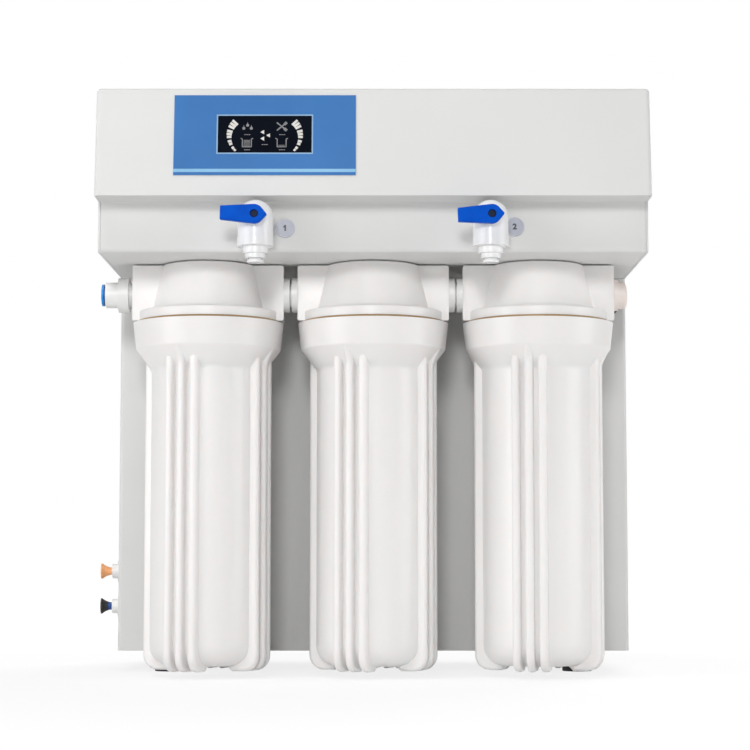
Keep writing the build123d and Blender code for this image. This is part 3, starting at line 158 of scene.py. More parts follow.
# Mould lines, blades and the rocker's marks
MOULD_LINE = (1.3, 7.4)  # width, height
MOULD_LINE_Z = 308.1
MOULD_LINE_T = 0.4
MOULD_LINE_EDGE = 0.16
MOULD_LINE_SUNK = 0.12
BLADE = (2.12, 4.12)  # width, height
BLADE_LENGTH = 13.1
BLADE_EDGE = 0.4
ROCKER_MARK_UP = 2.91  # up or down from the pivot
ROCKER_MARK_OUT = 4.56
ROCKER_MARK_T = 0.12
ROCKER_BAR = (0.7, 3.0)
ROCKER_RING_R = 1.45
ROCKER_RING_LINE = 0.55

# Steps of round and softened edges
DISC_CORNERS = 64
SMALL_CORNERS = 40
EDGE_STEPS = 2

# Camera, floor and backdrop, in metres and degrees, the lens and its frame in millimetres
CAMERA_AT = (0.0093, -1.5807, 0.0843)
CAMERA_TILT = 95.06
CAMERA_LENS = 100.06
CAMERA_SENSOR = 36.0
CAMERA_REACH = 50.0
FLOOR_SIZE = 12.0
FLOOR_ROUGHNESS = 0.9
FLOOR_SHADES = ((0.86, 0.86, 0.86), (0.88, 0.88, 0.88))
FLOOR_DRIFT = 3.0
FLOOR_DETAIL = 2.0
FLOOR_GLOW = 1.04
GLOW_REACH = (0.25, 0.9)  # from the middle of the floor
GLOW_SHARE = (0.78, 1.0)  # how much of the floor's own white is seen there
WORLD_LIGHT = 0.08  # strength that falls on the object
WORLD_SEEN = 1.0  # strength of the backdrop where it is seen

# Spread of noise in the finishes, and the lower plug's second colour
SHADE_SPAN = (0.35, 0.65)
SHADE_DETAIL = 3.0
GLOSS_SPAN = (0.3, 0.7)
GLOSS_DETAIL = 4.0
GLOSS_FINER = 6  # times the scale of the drifting shade
GLOSS_BELOW = 0.02
GLOSS_ABOVE = 0.03
GRAIN_DETAIL = 3.0
GRAIN_HEIGHT = 0.0004
PLUG_BLUE = (0.012, 0.06, 0.26, 1.0)

bpy.ops.object.select_all(action="DESELECT")
scene.view_settings.view_transform = "Standard"


# Camera at the photograph's angle

bpy.ops.object.camera_add(location=CAMERA_AT, rotation=(radians(CAMERA_TILT), 0, 0))
camera = bpy.context.object
camera.name = "photo_camera"
camera.data.lens = CAMERA_LENS
camera.data.sensor_width = CAMERA_SENSOR
camera.data.clip_end = CAMERA_REACH
scene.camera = camera


# Finishes


def set_sockets(node, sockets):
    """Set a node's constant sockets."""
    for socket, value in sockets.items():
        node.inputs[socket].default_value = value


def add_node(owner, kind, sockets=None, **settings):
    """Node in a finish or the world, with its settings and its constant sockets."""
    node = owner.node_tree.nodes.new(kind)
    for key, value in settings.items():
        setattr(node, key, value)
    set_sockets(node, sockets or {})
    return node


def link(owner, output, socket):
    """Join one node's output to another's socket."""
    owner.node_tree.links.new(output, socket)


def shader_of(finish):
    """The shader that a finish starts with."""
    return finish.node_tree.nodes["Principled BSDF"]


def new_finish(name, sockets):
    """A finish with its shader's constant sockets set."""
    finish = bpy.data.materials.new(name)
    finish.use_nodes = True
    set_sockets(shader_of(finish), sockets)
    return finish


def noise(finish, scale, detail, stretch=None):
    """Noise on the piece's own coordinates."""
    where = add_node(finish, "ShaderNodeTexCoord").outputs["Object"]
    if stretch:
        mapping = add_node(finish, "ShaderNodeMapping", {"Scale": stretch})
        link(finish, where, mapping.inputs["Vector"])
        where = mapping.outputs["Vector"]
    texture = add_node(finish, "ShaderNodeTexNoise", {"Scale": scale, "Detail": detail})
    link(finish, where, texture.inputs["Vector"])
    return texture.outputs["Fac"]


def tint(finish, fac, dark, light):
    """Base colour that drifts between two shades."""
    ramp = add_node(finish, "ShaderNodeValToRGB")
    for stop, position, shade in zip(ramp.color_ramp.elements, SHADE_SPAN, (dark, light)):
        stop.position = position
        stop.color = (*shade, 1.0)
    link(finish, fac, ramp.inputs["Fac"])
    link(finish, ramp.outputs["Color"], shader_of(finish).inputs["Base Color"])


def gloss(finish, fac, low, high):
    """Roughness that varies over the surface."""
    from_low, from_high = GLOSS_SPAN
    limits = {"From Min": from_low, "From Max": from_high, "To Min": low, "To Max": high}
    spread = add_node(finish, "ShaderNodeMapRange", limits)
    link(finish, fac, spread.inputs["Value"])
    link(finish, spread.outputs["Result"], shader_of(finish).inputs["Roughness"])


def relief(finish, fac, strength):
    """Fine surface texture."""
    bump = add_node(finish, "ShaderNodeBump", {"Strength": strength, "Distance": GRAIN_HEIGHT})
    link(finish, fac, bump.inputs["Height"])
    link(finish, bump.outputs["Normal"], shader_of(finish).inputs["Normal"])


def surface(name, dark, light, roughness, drift, grain, depth, metallic=0.0, stretch=None, sockets=None):
    """Finish with drifting shade, slightly uneven gloss and a fine grain."""
    finish = new_finish(name, {"Roughness": roughness, "Metallic": metallic, **(sockets or {})})
    tint(finish, noise(finish, drift, SHADE_DETAIL, stretch), dark, light)
    uneven = noise(finish, drift * GLOSS_FINER, GLOSS_DETAIL, stretch)
    gloss(finish, uneven, roughness - GLOSS_BELOW, roughness + GLOSS_ABOVE)
    relief(finish, noise(finish, grain, GRAIN_DETAIL, stretch), depth)
    return finish


def blue_end(finish):
    """Blue past the plug's flare, where it goes into its port."""
    base = shader_of(finish).inputs["Base Color"]
    shade = base.links[0].from_socket
    where = add_node(finish, "ShaderNodeTexCoord")
    across = add_node(finish, "ShaderNodeSeparateXYZ")
    past = add_node(finish, "ShaderNodeMath", {1: PLUG_BLUE_X * MM}, operation="GREATER_THAN")
    mix = add_node(finish, "ShaderNodeMix", {"B": PLUG_BLUE}, data_type="RGBA")
    link(finish, where.outputs["Object"], across.inputs["Vector"])
    link(finish, across.outputs["X"], past.inputs[0])
    link(finish, past.outputs["Value"], mix.inputs["Factor"])
    link(finish, shade, mix.inputs["A"])
    link(finish, mix.outputs["Result"], base)


powder_coat = surface(
    "powder_coat", dark=(0.722, 0.722, 0.713), light=(0.745, 0.745, 0.735), roughness=0.52,
    drift=7.0, grain=1400.0, depth=0.10, sockets={"Specular IOR Level": 0.35},
)
housing_white = surface(
    "housing_white", dark=(0.885, 0.865, 0.855), light=(0.905, 0.888, 0.878), roughness=0.33,
    drift=6.0, grain=700.0, depth=0.03,
    sockets={
        "Coat Weight": 0.15,
        "Coat Roughness": 0.2,
        "Subsurface Weight": 0.3,
        "Subsurface Radius": (1.0, 0.72, 0.66),
        "Subsurface Scale": 0.003,
    },
)
valve_white = surface(
    "valve_white", dark=(0.84, 0.845, 0.85), light=(0.88, 0.88, 0.885), roughness=0.24,
    drift=60.0, grain=900.0, depth=0.04,
)
fitting_white = surface(
    "fitting_white", dark=(0.80, 0.80, 0.79), light=(0.85, 0.85, 0.84), roughness=0.36,
    drift=50.0, grain=900.0, depth=0.06,
)
elbow_peach = surface(
    "elbow_peach", dark=(0.80, 0.70, 0.66), light=(0.84, 0.76, 0.72), roughness=0.38,
    drift=60.0, grain=900.0, depth=0.06,
)
film_blue = surface(
    "film_blue", dark=(0.027, 0.150, 0.415), light=(0.033, 0.168, 0.455), roughness=0.40,
    drift=18.0, grain=2200.0, depth=0.06, sockets={"Specular IOR Level": 0.25},
)
lever_blue = surface(
    "lever_blue", dark=(0.000, 0.078, 0.53), light=(0.000, 0.095, 0.60), roughness=0.45,
    drift=80.0, grain=1600.0, depth=0.10, sockets={"Specular IOR Level": 0.04},
)
ring_blue = surface(
    "ring_blue", dark=(0.002, 0.20, 0.62), light=(0.006, 0.25, 0.72), roughness=0.34,
    drift=120.0, grain=1500.0, depth=0.05,
)
# Seal between head and sump: a real piece whose dark tan is painted shade of the gap there
seal_painted_gap_shade = surface(
    "seal_painted_gap_shade", dark=(0.36, 0.23, 0.10), light=(0.47, 0.32, 0.16), roughness=0.62,
    drift=40.0, grain=900.0, depth=0.20,
)
rubber_black = surface(
    "rubber_black", dark=(0.016, 0.016, 0.016), light=(0.030, 0.030, 0.030), roughness=0.68,
    drift=60.0, grain=1600.0, depth=0.25,
)
plastic_black = surface(
    "plastic_black", dark=(0.014, 0.014, 0.016), light=(0.026, 0.026, 0.028), roughness=0.44,
    drift=60.0, grain=1800.0, depth=0.20,
)
plug_orange = surface(
    "plug_orange", dark=(0.94, 0.43, 0.18), light=(0.98, 0.48, 0.22), roughness=0.40,
    drift=140.0, grain=1500.0, depth=0.08,
)
plug_black = surface(
    "plug_black", dark=(0.010, 0.010, 0.011), light=(0.020, 0.020, 0.022), roughness=0.46,
    drift=140.0, grain=1500.0, depth=0.08,
)
blue_end(plug_black)
disc_grey = surface(
    "disc_grey", dark=(0.36, 0.378, 0.45), light=(0.40, 0.42, 0.495), roughness=0.34,
    drift=90.0, grain=1800.0, depth=0.05,
)
# Label disc rims: the same plastic as the disc, drawn lighter as a painted highlight on the raised rim
disc_rim_painted_highlight = surface(
    "disc_rim_painted_highlight", dark=(0.46, 0.475, 0.55), light=(0.51, 0.525, 0.60), roughness=0.30,
    drift=90.0, grain=1800.0, depth=0.05,
)
# Lever screws: a real screw, coloured near-black navy, matte and not metallic, as painted shade of the
# recess it sits in
screw_painted_recess_shade = surface(
    "screw_painted_recess_shade", dark=(0.006, 0.012, 0.040), light=(0.014, 0.022, 0.06), roughness=0.50,
    drift=200.0, grain=1500.0, depth=0.10, sockets={"Specular IOR Level": 0.15},
)
brass = surface(
    "brass", dark=(0.60, 0.46, 0.22), light=(0.70, 0.56, 0.30), roughness=0.28,
    drift=120.0, grain=900.0, depth=0.08, metallic=1.0,
)
print_pale = surface(
    "print_pale", dark=(0.20, 0.465, 0.705), light=(0.23, 0.505, 0.745), roughness=0.40,
    drift=40.0, grain=2200.0, depth=0.04,
)
print_frame = surface(
    "print_frame", dark=(0.21, 0.37, 0.56), light=(0.25, 0.42, 0.61), roughness=0.40,
    drift=40.0, grain=2200.0, depth=0.04,
)
print_white = surface(
    "print_white", dark=(0.62, 0.60, 0.57), light=(0.70, 0.68, 0.65), roughness=0.36,
    drift=90.0, grain=2200.0, depth=0.04,
)
print_grey = surface(
    "print_grey", dark=(0.16, 0.16, 0.17), light=(0.23, 0.23, 0.24), roughness=0.36,
    drift=90.0, grain=2200.0, depth=0.04,
)
print_dark = surface(
    "print_dark", dark=(0.015, 0.018, 0.03), light=(0.025, 0.028, 0.045), roughness=0.40,
    drift=90.0, grain=2200.0, depth=0.04,
)
display_dark = surface(
    "display_dark", dark=(0.0022, 0.0035, 0.008), light=(0.004, 0.006, 0.012), roughness=0.12,
    drift=30.0, grain=1500.0, depth=0.01, sockets={"Specular IOR Level": 0.03},
)
zinc_steel = surface(
    "zinc_steel", dark=(0.52, 0.52, 0.50), light=(0.66, 0.66, 0.66), roughness=0.30,
    drift=90.0, grain=900.0, depth=0.10, metallic=1.0,
)
turned_steel = surface(
    "turned_steel", dark=(0.55, 0.55, 0.55), light=(0.66, 0.66, 0.66), roughness=0.24,
    drift=90.0, grain=700.0, depth=0.10, metallic=1.0, stretch=(1.0, 12.0, 1.0),
)
ball_chrome = surface(
    "ball_chrome", dark=(0.74, 0.74, 0.75), light=(0.82, 0.82, 0.83), roughness=0.09,
    drift=60.0, grain=900.0, depth=0.02, metallic=1.0,
)
board_green = surface(
    "board_green", dark=(0.012, 0.10, 0.035), light=(0.02, 0.15, 0.05), roughness=0.34,
    drift=120.0, grain=700.0, depth=0.15,
)
filter_media = surface(
    "filter_media", dark=(0.68, 0.66, 0.61), light=(0.82, 0.80, 0.75), roughness=0.86,
    drift=40.0, grain=420.0, depth=0.6, stretch=(1.0, 1.0, 5.0),
)
tube_white = surface(
    "tube_white", dark=(0.76, 0.77, 0.76), light=(0.82, 0.83, 0.82), roughness=0.32,
    drift=50.0, grain=900.0, depth=0.04,
)
pump_black = surface(
    "pump_black", dark=(0.022, 0.022, 0.025), light=(0.045, 0.045, 0.05), roughness=0.45,
    drift=40.0, grain=800.0, depth=0.2,
)
supply_metal = surface(
    "supply_metal", dark=(0.56, 0.57, 0.58), light=(0.68, 0.69, 0.70), roughness=0.34,
    drift=12.0, grain=700.0, depth=0.10, metallic=1.0, stretch=(1.0, 14.0, 14.0),
)
gear_grey = surface(
    "gear_grey", dark=(0.13, 0.135, 0.14), light=(0.20, 0.205, 0.21), roughness=0.5,
    drift=60.0, grain=1200.0, depth=0.2,
)

finish_of_slot = {
    "casing": powder_coat,
    "panel_film": film_blue,
    "window": display_dark,
    "display": display_dark,
    "circuit_board": board_green,
    "zinc_steel": zinc_steel,
    "housing": housing_white,
    "seal": seal_painted_gap_shade,
    "filter_media": filter_media,
    "fitting": fitting_white,
    "feed_ring": ring_blue,
    "elbow": elbow_peach,
    "tube": tube_white,
    "black_rubber": rubber_black,
    "valve": valve_white,
    "lever": lever_blue,
    "stem": turned_steel,
    "ball": ball_chrome,
    "disc": disc_grey,
    "plug_orange": plug_orange,
    "plug_black": plug_black,
    "vessel": valve_white,
    "pump": pump_black,
    "supply_case": supply_metal,
    "control_gear": gear_grey,
    "black_plastic": plastic_black,
}
for subpart in frame["record"]["subparts"]:
    solid = frame["nodes"][subpart["node"]]
    solid.data.materials.clear()
    solid.data.materials.append(finish_of_slot[subpart["material_slot"]])


# Pieces modelled in millimetres about the origin, then set in place

# Turns of the drawing plane: upright and facing -Y, upright and facing +Y, leaning with the sloping face
FRONT = Matrix(((1, 0, 0, 0), (0, 0, -1, 0), (0, 1, 0, 0), (0, 0, 0, 1)))
REAR = Matrix(((-1, 0, 0, 0), (0, 0, 1, 0), (0, 1, 0, 0), (0, 0, 0, 1)))
face_length = (FACE_RISE**2 + FACE_LEAN**2) ** 0.5
lean = FACE_LEAN / face_length
rise = FACE_RISE / face_length
SLOPE = Matrix(((1, 0, 0, 0), (0, lean, -rise, 0), (0, rise, lean, 0), (0, 0, 0, 1)))


def at(x, y, z, turned=FRONT):
    """Place in millimetres with a drawing plane's turn."""
    return Matrix.Translation(Vector((x, y, z)) * MM) @ turned


def on_face(u, v, proud):
    """Place on the sloping face: across from its middle, up from the lip, out from its surface."""
    return at(MID_X, LIP_Y, LIP_Z, SLOPE) @ Matrix.Translation(Vector((u, v, proud)) * MM)


def only(piece):
    """Select one piece and nothing else."""
    bpy.ops.object.select_all(action="DESELECT")
    piece.select_set(True)
    bpy.context.view_layer.objects.active = piece


def seat(piece, name, place, finish, body="cabinet"):
    """Put a piece's place into its mesh and give it a body, a finish and a slot."""
    only(piece)
    piece.name = name
    piece.data.name = name
    piece.matrix_world = place @ Matrix.Scale(MM, 4)
    bpy.ops.object.transform_apply(location=True, rotation=True, scale=True)
    piece.data.materials.clear()
    piece.data.materials.append(finish)
    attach(piece, body)
    return piece


def copies(piece, count):
    """A piece and its copies, so many in all, each with its own mesh."""
    pieces = [piece]
    while len(pieces) < count:
        only(piece)
        bpy.ops.object.duplicate(linked=False)
        pieces.append(bpy.context.object)
    return pieces


def join(pieces):
    """Make one mesh of several pieces."""
    only(pieces[0])
    for piece in pieces:
        piece.select_set(True)
    bpy.ops.object.join()
    bpy.ops.object.transform_apply(location=True, rotation=True, scale=True)
    return bpy.context.object


def flat(width, height):
    """Flat rectangle to work from."""
    bpy.ops.object.select_all(action="DESELECT")
    bpy.ops.mesh.primitive_plane_add(size=1.0)
    piece = bpy.context.object
    piece.scale = (width, height, 1.0)
    bpy.ops.object.transform_apply(scale=True)
    return piece


def round_flat(radius, corners):
    """Flat disc to work from."""
    bpy.ops.object.select_all(action="DESELECT")
    bpy.ops.mesh.primitive_circle_add(vertices=corners, radius=radius, fill_type="NGON")
    return bpy.context.object


def edit_all(piece):
    """Edit mode with every face selected."""
    only(piece)
    bpy.ops.object.mode_set(mode="EDIT")
    bpy.ops.mesh.select_mode(type="FACE")
    bpy.ops.mesh.select_all(action="SELECT")


def edit_some(piece, kind, elements, test):
    """Edit mode with the elements of one kind that pass a test selected."""
    only(piece)
    bpy.ops.object.mode_set(mode="EDIT")
    bpy.ops.mesh.select_mode(type=kind)
    bpy.ops.mesh.select_all(action="DESELECT")
    bpy.ops.object.mode_set(mode="OBJECT")
    for element in getattr(piece.data, elements):
        element.select = test(element)
    bpy.ops.object.mode_set(mode="EDIT")


def open_middle(piece, border):
    """Leave only a border of a flat face."""
    edit_all(piece)
    bpy.ops.mesh.inset(thickness=border)
    bpy.ops.mesh.delete(type="FACE")
    bpy.ops.object.mode_set(mode="OBJECT")


def raise_flat(piece, height, edge=0.0):
    """Raise a flat outline to a thickness, with its front edges softened."""
    edit_all(piece)
    bpy.ops.mesh.extrude_region_move(TRANSFORM_OT_translate={"value": (0, 0, height)})
    if edge:
        bpy.ops.mesh.region_to_loop()
        bpy.ops.mesh.bevel(offset=edge, segments=EDGE_STEPS, affect="EDGES")
    bpy.ops.mesh.select_mode(type="FACE")
    bpy.ops.mesh.select_all(action="SELECT")
    bpy.ops.mesh.normals_make_consistent(inside=False)
    bpy.ops.object.mode_set(mode="OBJECT")
    return piece


def strokes(bars):
    """Flat bars, one copied to each place: (across, up, length, width, heading in degrees)."""
    placed = copies(flat(1.0, 1.0), len(bars))
    for piece, (u, v, length, width, heading) in zip(placed, bars):
        piece.location = (u, v, 0)
        piece.rotation_euler = (0, 0, radians(heading))
        piece.scale = (length, width, 1.0)
    return join(placed)


# Print on the control panel

stripe = raise_flat(flat(OVERLAY_WIDTH - 2 * STRIPE_MARGIN, STRIPE_HEIGHT), PRINT_T, PRINT_EDGE)
stripe_place = on_face(OVERLAY_X, STRIPE_V, OVERLAY_T - PRINT_SUNK)
seat(stripe, "panel_stripe", stripe_place, print_pale)

border = flat(WINDOW_SIZE[0] + 2 * BORDER_OVERLAP, WINDOW_SIZE[1] + 2 * BORDER_OVERLAP)
open_middle(border, BORDER)
raise_flat(border, PRINT_T + OVERLAY_T - WINDOW_TOP, PRINT_EDGE)
seat(border, "window_border", on_face(*WINDOW_AT, WINDOW_TOP - PRINT_SUNK), print_frame)


# Marks on the display


def show(piece, name, u, v, finish):
    """Print a mark on the display, measured from the window's middle."""
    raise_flat(piece, PRINT_T)
    place = on_face(WINDOW_AT[0] + u, WINDOW_AT[1] + v, WINDOW_TOP - PRINT_SUNK)
    seat(piece, name, place, finish)


def bar_graph(name, side):
    """Arc of bars in groups, shortening downwards and opening to the middle."""
    bars = []
    heading = ARC_TOP
    for group in BAR_GROUPS:
        for _ in range(group):
            done = (heading - ARC_TOP) / (ARC_FOOT - ARC_TOP)
            length = BAR_LONG + (BAR_SHORT - BAR_LONG) * done
            turn = radians(heading)
            u = side * ARC_R * cos(turn)
            bars.append((u, ARC_R * sin(turn), length, BAR_WIDTH, side * heading))
            heading += BAR_STEP
        heading += GROUP_GAP
    show(strokes(bars), name, side * ARC_CENTRE[0], ARC_CENTRE[1], print_white)


bar_graph("bar_graph_left", 1)
bar_graph("bar_graph_right", -1)


def beaker(name, u, v, lines):
    """Beaker in outline with a spout at each side, filled with lines from its foot."""
    half_wide = BEAKER_WIDTH / 2
    half_tall = BEAKER_HEIGHT / 2
    bars = [
        (-half_wide, 0, BEAKER_HEIGHT, BEAKER_LINE, 90),
        (half_wide, 0, BEAKER_HEIGHT, BEAKER_LINE, 90),
        (0, -half_tall, BEAKER_WIDTH + BEAKER_LINE, BEAKER_LINE, 0),
        (-half_wide - SPOUT_OUT, half_tall + SPOUT_UP, SPOUT_LENGTH, BEAKER_LINE, 180 - SPOUT_LEAN),
        (half_wide + SPOUT_OUT, half_tall + SPOUT_UP, SPOUT_LENGTH, BEAKER_LINE, SPOUT_LEAN),
    ]
    for row in range(lines):
        up = -half_tall + FILL_FOOT + row * FILL_STEP
        bars.append((0, up, BEAKER_WIDTH - FILL_SHORT, FILL_LINE, 0))
    show(strokes(bars), name, u, v, print_grey)


beaker("beaker_full", *BEAKER_FULL_AT, BEAKER_FULL_LINES)
beaker("beaker_empty", *BEAKER_EMPTY_AT, BEAKER_EMPTY_LINES)

# Drops: a disc with its top point drawn up, and copies of it
drop = round_flat(DROP_R, DROP_CORNERS)
top = max(point.co.y for point in drop.data.vertices)
edit_some(drop, "VERT", "vertices", lambda point: point.co.y == top)
bpy.ops.transform.translate(value=(0, DROP_POINT, 0))
bpy.ops.object.mode_set(mode="OBJECT")
drops = copies(drop, len(DROP_PLACES))
for piece, (u, v) in zip(drops, DROP_PLACES):
    piece.location = (u, v, 0)
show(join(drops), "drops", *DROPS_AT, print_grey)

# Crossed bars, each with a block at its right end
block_u, block_v = CROSSED_BLOCK_AT
crossed_bars = [
    (0, 0, *CROSSED_BAR, CROSSED_LEAN),
    (0, 0, *CROSSED_BAR, 180 - CROSSED_LEAN),
    (block_u, -block_v, *CROSSED_BLOCK, 180 - CROSSED_LEAN),
    (block_u, block_v, *CROSSED_BLOCK, CROSSED_LEAN),
]
show(strokes(crossed_bars), "crossed_bars", *CROSSED_AT, print_grey)

# Ring of three-cornered pointers
pointers = copies(round_flat(POINTER_R, corners=3), POINTER_COUNT)
for number, piece in enumerate(pointers):
    turn = radians(360 / POINTER_COUNT * number)
    piece.location = (POINTER_RING_R * cos(turn), POINTER_RING_R * sin(turn), 0)
    piece.rotation_euler = (0, 0, turn + radians(90))
show(join(pointers), "pointer_ring", *POINTERS_AT, print_white)

# Short rules under the marks
rules = [(u + across, v, *RULE_SIZE, 0) for u, v in RULES_AT for across in RULE_PLACES]
show(strokes(rules), "rules", 0.0, 0.0, print_grey)


# Label discs: a raised rim and a plain number on each


def figure_mesh(number):
    """Number about the origin, as a closed mesh. Figure one gets a flag, to be more than a bar."""
    bpy.ops.object.select_all(action="DESELECT")
    bpy.ops.object.text_add()
    figure = bpy.context.object
    figure.data.body = str(number)
    figure.data.size = FIGURE_SIZE
    figure.data.align_x = "CENTER"
    figure.data.align_y = "CENTER"
    figure.data.extrude = FIGURE_T / 2
    figure.data.offset = FIGURE_BOLD
    bpy.ops.object.convert(target="MESH")
    figure = bpy.context.object
    bpy.ops.object.mode_set(mode="EDIT")
    bpy.ops.mesh.select_all(action="SELECT")
    bpy.ops.mesh.remove_doubles(threshold=FIGURE_MERGE)
    bpy.ops.mesh.normals_make_consistent(inside=False)
    bpy.ops.object.mode_set(mode="OBJECT")
    if number == 1:
        flag = raise_flat(strokes([FIGURE_FLAG]), FIGURE_T)
        flag.location = (0, 0, -FIGURE_T / 2)
        figure = join([figure, flag])
    return figure


# Each rim takes the lighter finish that paints its highlight
for number, (side, (disc_x, disc_z)) in enumerate(DISCS.items(), start=1):
    rim = round_flat(DISC_R, DISC_CORNERS)
    open_middle(rim, RIM_WIDTH)
    raise_flat(rim, RIM_HEIGHT, RIM_EDGE)
    seat(rim, f"disc_rim_{side}", at(disc_x, DISC_FRONT + RIM_SUNK, disc_z), disc_rim_painted_highlight)
    number_place = at(disc_x, DISC_FRONT, disc_z)
    seat(figure_mesh(number), f"disc_number_{side}", number_place, print_dark)


# Screws with a cross recess


def cross_screw(radius, head, edge, shank_r=0.0, shank=0.0):
    """Pan head on the drawing plane, with a cross cut in it and any shank behind."""
    screw = raise_flat(round_flat(radius, SMALL_CORNERS), head)
    edit_some(screw, "FACE", "polygons", lambda face: face.normal.z > FACING)
    bpy.ops.mesh.region_to_loop()
    bpy.ops.mesh.bevel(offset=edge, segments=HEAD_STEPS, affect="EDGES")
    bpy.ops.object.mode_set(mode="OBJECT")
    if shank:
        edit_some(screw, "FACE", "polygons", lambda face: face.normal.z < -FACING)
        bpy.ops.mesh.inset(thickness=radius - shank_r)
        bpy.ops.mesh.extrude_region_move(TRANSFORM_OT_translate={"value": (0, 0, -shank)})
        bpy.ops.object.mode_set(mode="OBJECT")
    cross = [(0, 0, CROSS_SPAN * radius, CROSS_LINE * radius, heading) for heading in (0, 90)]
    cutter = raise_flat(strokes(cross), head)
    cutter.location = (0, 0, CROSS_FLOOR * head)
    only(screw)
    cut = screw.modifiers.new("cross", "BOOLEAN")
    cut.operation = "DIFFERENCE"
    cut.object = cutter
    cut.use_self = True
    bpy.ops.object.modifier_apply(modifier=cut.name)
    only(cutter)
    bpy.ops.object.delete()
    only(screw)
    bpy.ops.object.shade_smooth_by_angle(angle=radians(SMOOTH_ANGLE))
    return screw


# Each lever screw takes the navy finish that paints the shade of its recess
lever_screws = copies(cross_screw(**LEVER_SCREW), len(VALVES))
for screw, (side, valve_x) in zip(lever_screws, VALVES.items()):
    recess = at(valve_x, LEVER_FRONT + LEVER_RECESS, VALVE_Z)
    seat(screw, f"lever_screw_{side}", recess, screw_painted_recess_shade, f"lever_{side}")

cover_screws = copies(cross_screw(**COVER_SCREW), len(COVER_SCREWS))
for screw, (across, up) in zip(cover_screws, COVER_SCREWS):
    screw.location = (across, up, 0)
heads = seat(join(cover_screws), "cover_screw_set", at(0, REAR_Y, 0, REAR), zinc_steel)
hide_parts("cover_screws")


# Mould lines down the fronts of the valves' legs

for side, valve_x in VALVES.items():
    seam = raise_flat(flat(*MOULD_LINE), MOULD_LINE_T, MOULD_LINE_EDGE)
    leg = at(valve_x, LEG_FRONT + MOULD_LINE_SUNK, MOULD_LINE_Z)
    seat(seam, f"mould_line_{side}", leg, valve_white)


# Mains inlet's blades

for name, blade_x, blade_z in BLADES:
    blade = raise_flat(flat(*BLADE), BLADE_LENGTH, BLADE_EDGE)
    seat(blade, name, at(blade_x, BLADE_ROOT, blade_z, REAR), brass)


# Rocker's marks: a bar on its upper half and a ring on its lower half

rocker_key = at(*ROCKER_PIVOT, REAR) @ Matrix.Rotation(radians(ROCKER_REST), 4, "X")
bar = flat(*ROCKER_BAR)
ring = round_flat(ROCKER_RING_R, SMALL_CORNERS)
open_middle(ring, ROCKER_RING_LINE)
for name, mark, half in (("rocker_mark_on", bar, 1), ("rocker_mark_off", ring, -1)):
    raise_flat(mark, ROCKER_MARK_T)
    spot = Matrix.Translation(Vector((0, half * ROCKER_MARK_UP, ROCKER_MARK_OUT)) * MM)
    dish = Matrix.Rotation(radians(half * ROCKER_DISH), 4, "X")
    seat(mark, name, rocker_key @ spot @ dish, print_white, "rocker")


# Floor and backdrop, white where they are seen, in a mirror or a glass too


def seen_ray(owner):
    """One for rays that see the floor or backdrop, nought for rays of light."""
    rays = add_node(owner, "ShaderNodeLightPath")
    indirect = add_node(owner, "ShaderNodeMath", operation="MAXIMUM")
    link(owner, rays.outputs["Is Glossy Ray"], indirect.inputs[0])
    link(owner, rays.outputs["Is Transmission Ray"], indirect.inputs[1])
    seen = add_node(owner, "ShaderNodeMath", operation="MAXIMUM")
    link(owner, rays.outputs["Is Camera Ray"], seen.inputs[0])
    link(owner, indirect.outputs["Value"], seen.inputs[1])
    return seen.outputs["Value"]


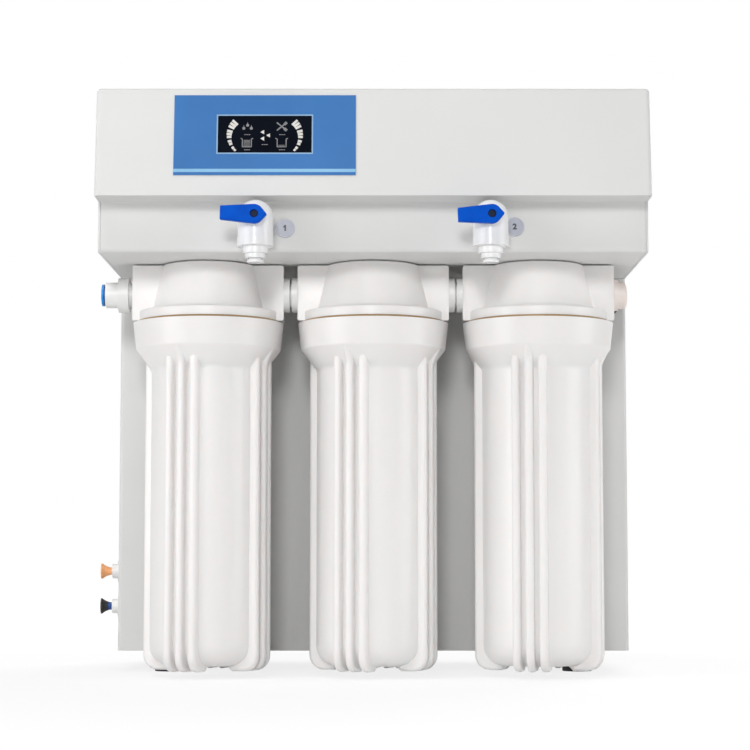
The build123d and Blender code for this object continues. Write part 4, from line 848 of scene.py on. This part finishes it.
def floor_finish():
    """Pale paint that keeps the shadow near the object and turns to plain white further out."""
    paint = new_finish("floor_paint", {"Roughness": FLOOR_ROUGHNESS})
    tint(paint, noise(paint, FLOOR_DRIFT, FLOOR_DETAIL), *FLOOR_SHADES)
    where = add_node(paint, "ShaderNodeTexCoord")
    reach = add_node(paint, "ShaderNodeVectorMath", operation="LENGTH")
    link(paint, where.outputs["Object"], reach.inputs[0])
    near, far = GLOW_REACH
    least, most = GLOW_SHARE
    limits = {"From Min": near, "From Max": far, "To Min": least, "To Max": most}
    fade = add_node(paint, "ShaderNodeMapRange", limits, interpolation_type="SMOOTHSTEP")
    link(paint, reach.outputs["Value"], fade.inputs["Value"])
    share = add_node(paint, "ShaderNodeMath", operation="MULTIPLY")
    link(paint, seen_ray(paint), share.inputs[0])
    link(paint, fade.outputs["Result"], share.inputs[1])
    glow = add_node(paint, "ShaderNodeEmission", {"Strength": FLOOR_GLOW})
    blend = add_node(paint, "ShaderNodeMixShader")
    link(paint, share.outputs["Value"], blend.inputs["Fac"])
    link(paint, shader_of(paint).outputs["BSDF"], blend.inputs[1])
    link(paint, glow.outputs["Emission"], blend.inputs[2])
    link(paint, blend.outputs["Shader"], paint.node_tree.nodes["Material Output"].inputs["Surface"])
    return paint


bpy.ops.mesh.primitive_plane_add(size=FLOOR_SIZE, location=(0, 0, 0))
floor = bpy.context.object
floor.name = "floor"
floor.data.materials.append(floor_finish())

world = bpy.data.worlds.new("studio")
world.use_nodes = True
scene.world = world
backdrop = world.node_tree.nodes["Background"]
backdrop.inputs["Color"].default_value = (1.0, 1.0, 1.0, 1.0)
strength = add_node(world, "ShaderNodeMapRange", {"To Min": WORLD_LIGHT, "To Max": WORLD_SEEN})
link(world, seen_ray(world), strength.inputs["Value"])
link(world, strength.outputs["Result"], backdrop.inputs["Strength"])


# Lamps


def softbox(name, place, aim, size, power):
    """Square lamp that faces a point."""
    bpy.ops.object.light_add(type="AREA", location=place)
    lamp = bpy.context.object
    lamp.name = name
    lamp.data.shape = "SQUARE"
    lamp.data.size = size
    lamp.data.energy = power
    lamp.rotation_euler = (Vector(aim) - Vector(place)).to_track_quat("-Z", "Y").to_euler()


softbox("front_lamp", place=(-0.15, -2.45, 0.88), aim=(0, -0.1, 0.2), size=0.45, power=18.0)
softbox("top_lamp", place=(-0.4, -0.75, 2.2), aim=(0, -0.1, 0.2), size=0.9, power=15.5)
softbox("left_lamp", place=(-1.15, -0.9, 0.4), aim=(0, -0.1, 0.15), size=0.8, power=6.1)
softbox("right_lamp", place=(1.4, -0.5, 0.35), aim=(0, -0.1, 0.15), size=0.8, power=5.4)
softbox("rear_lamp", place=(0.8, 2.0, 1.3), aim=(0, 0.1, 0.2), size=1.4, power=41.0)
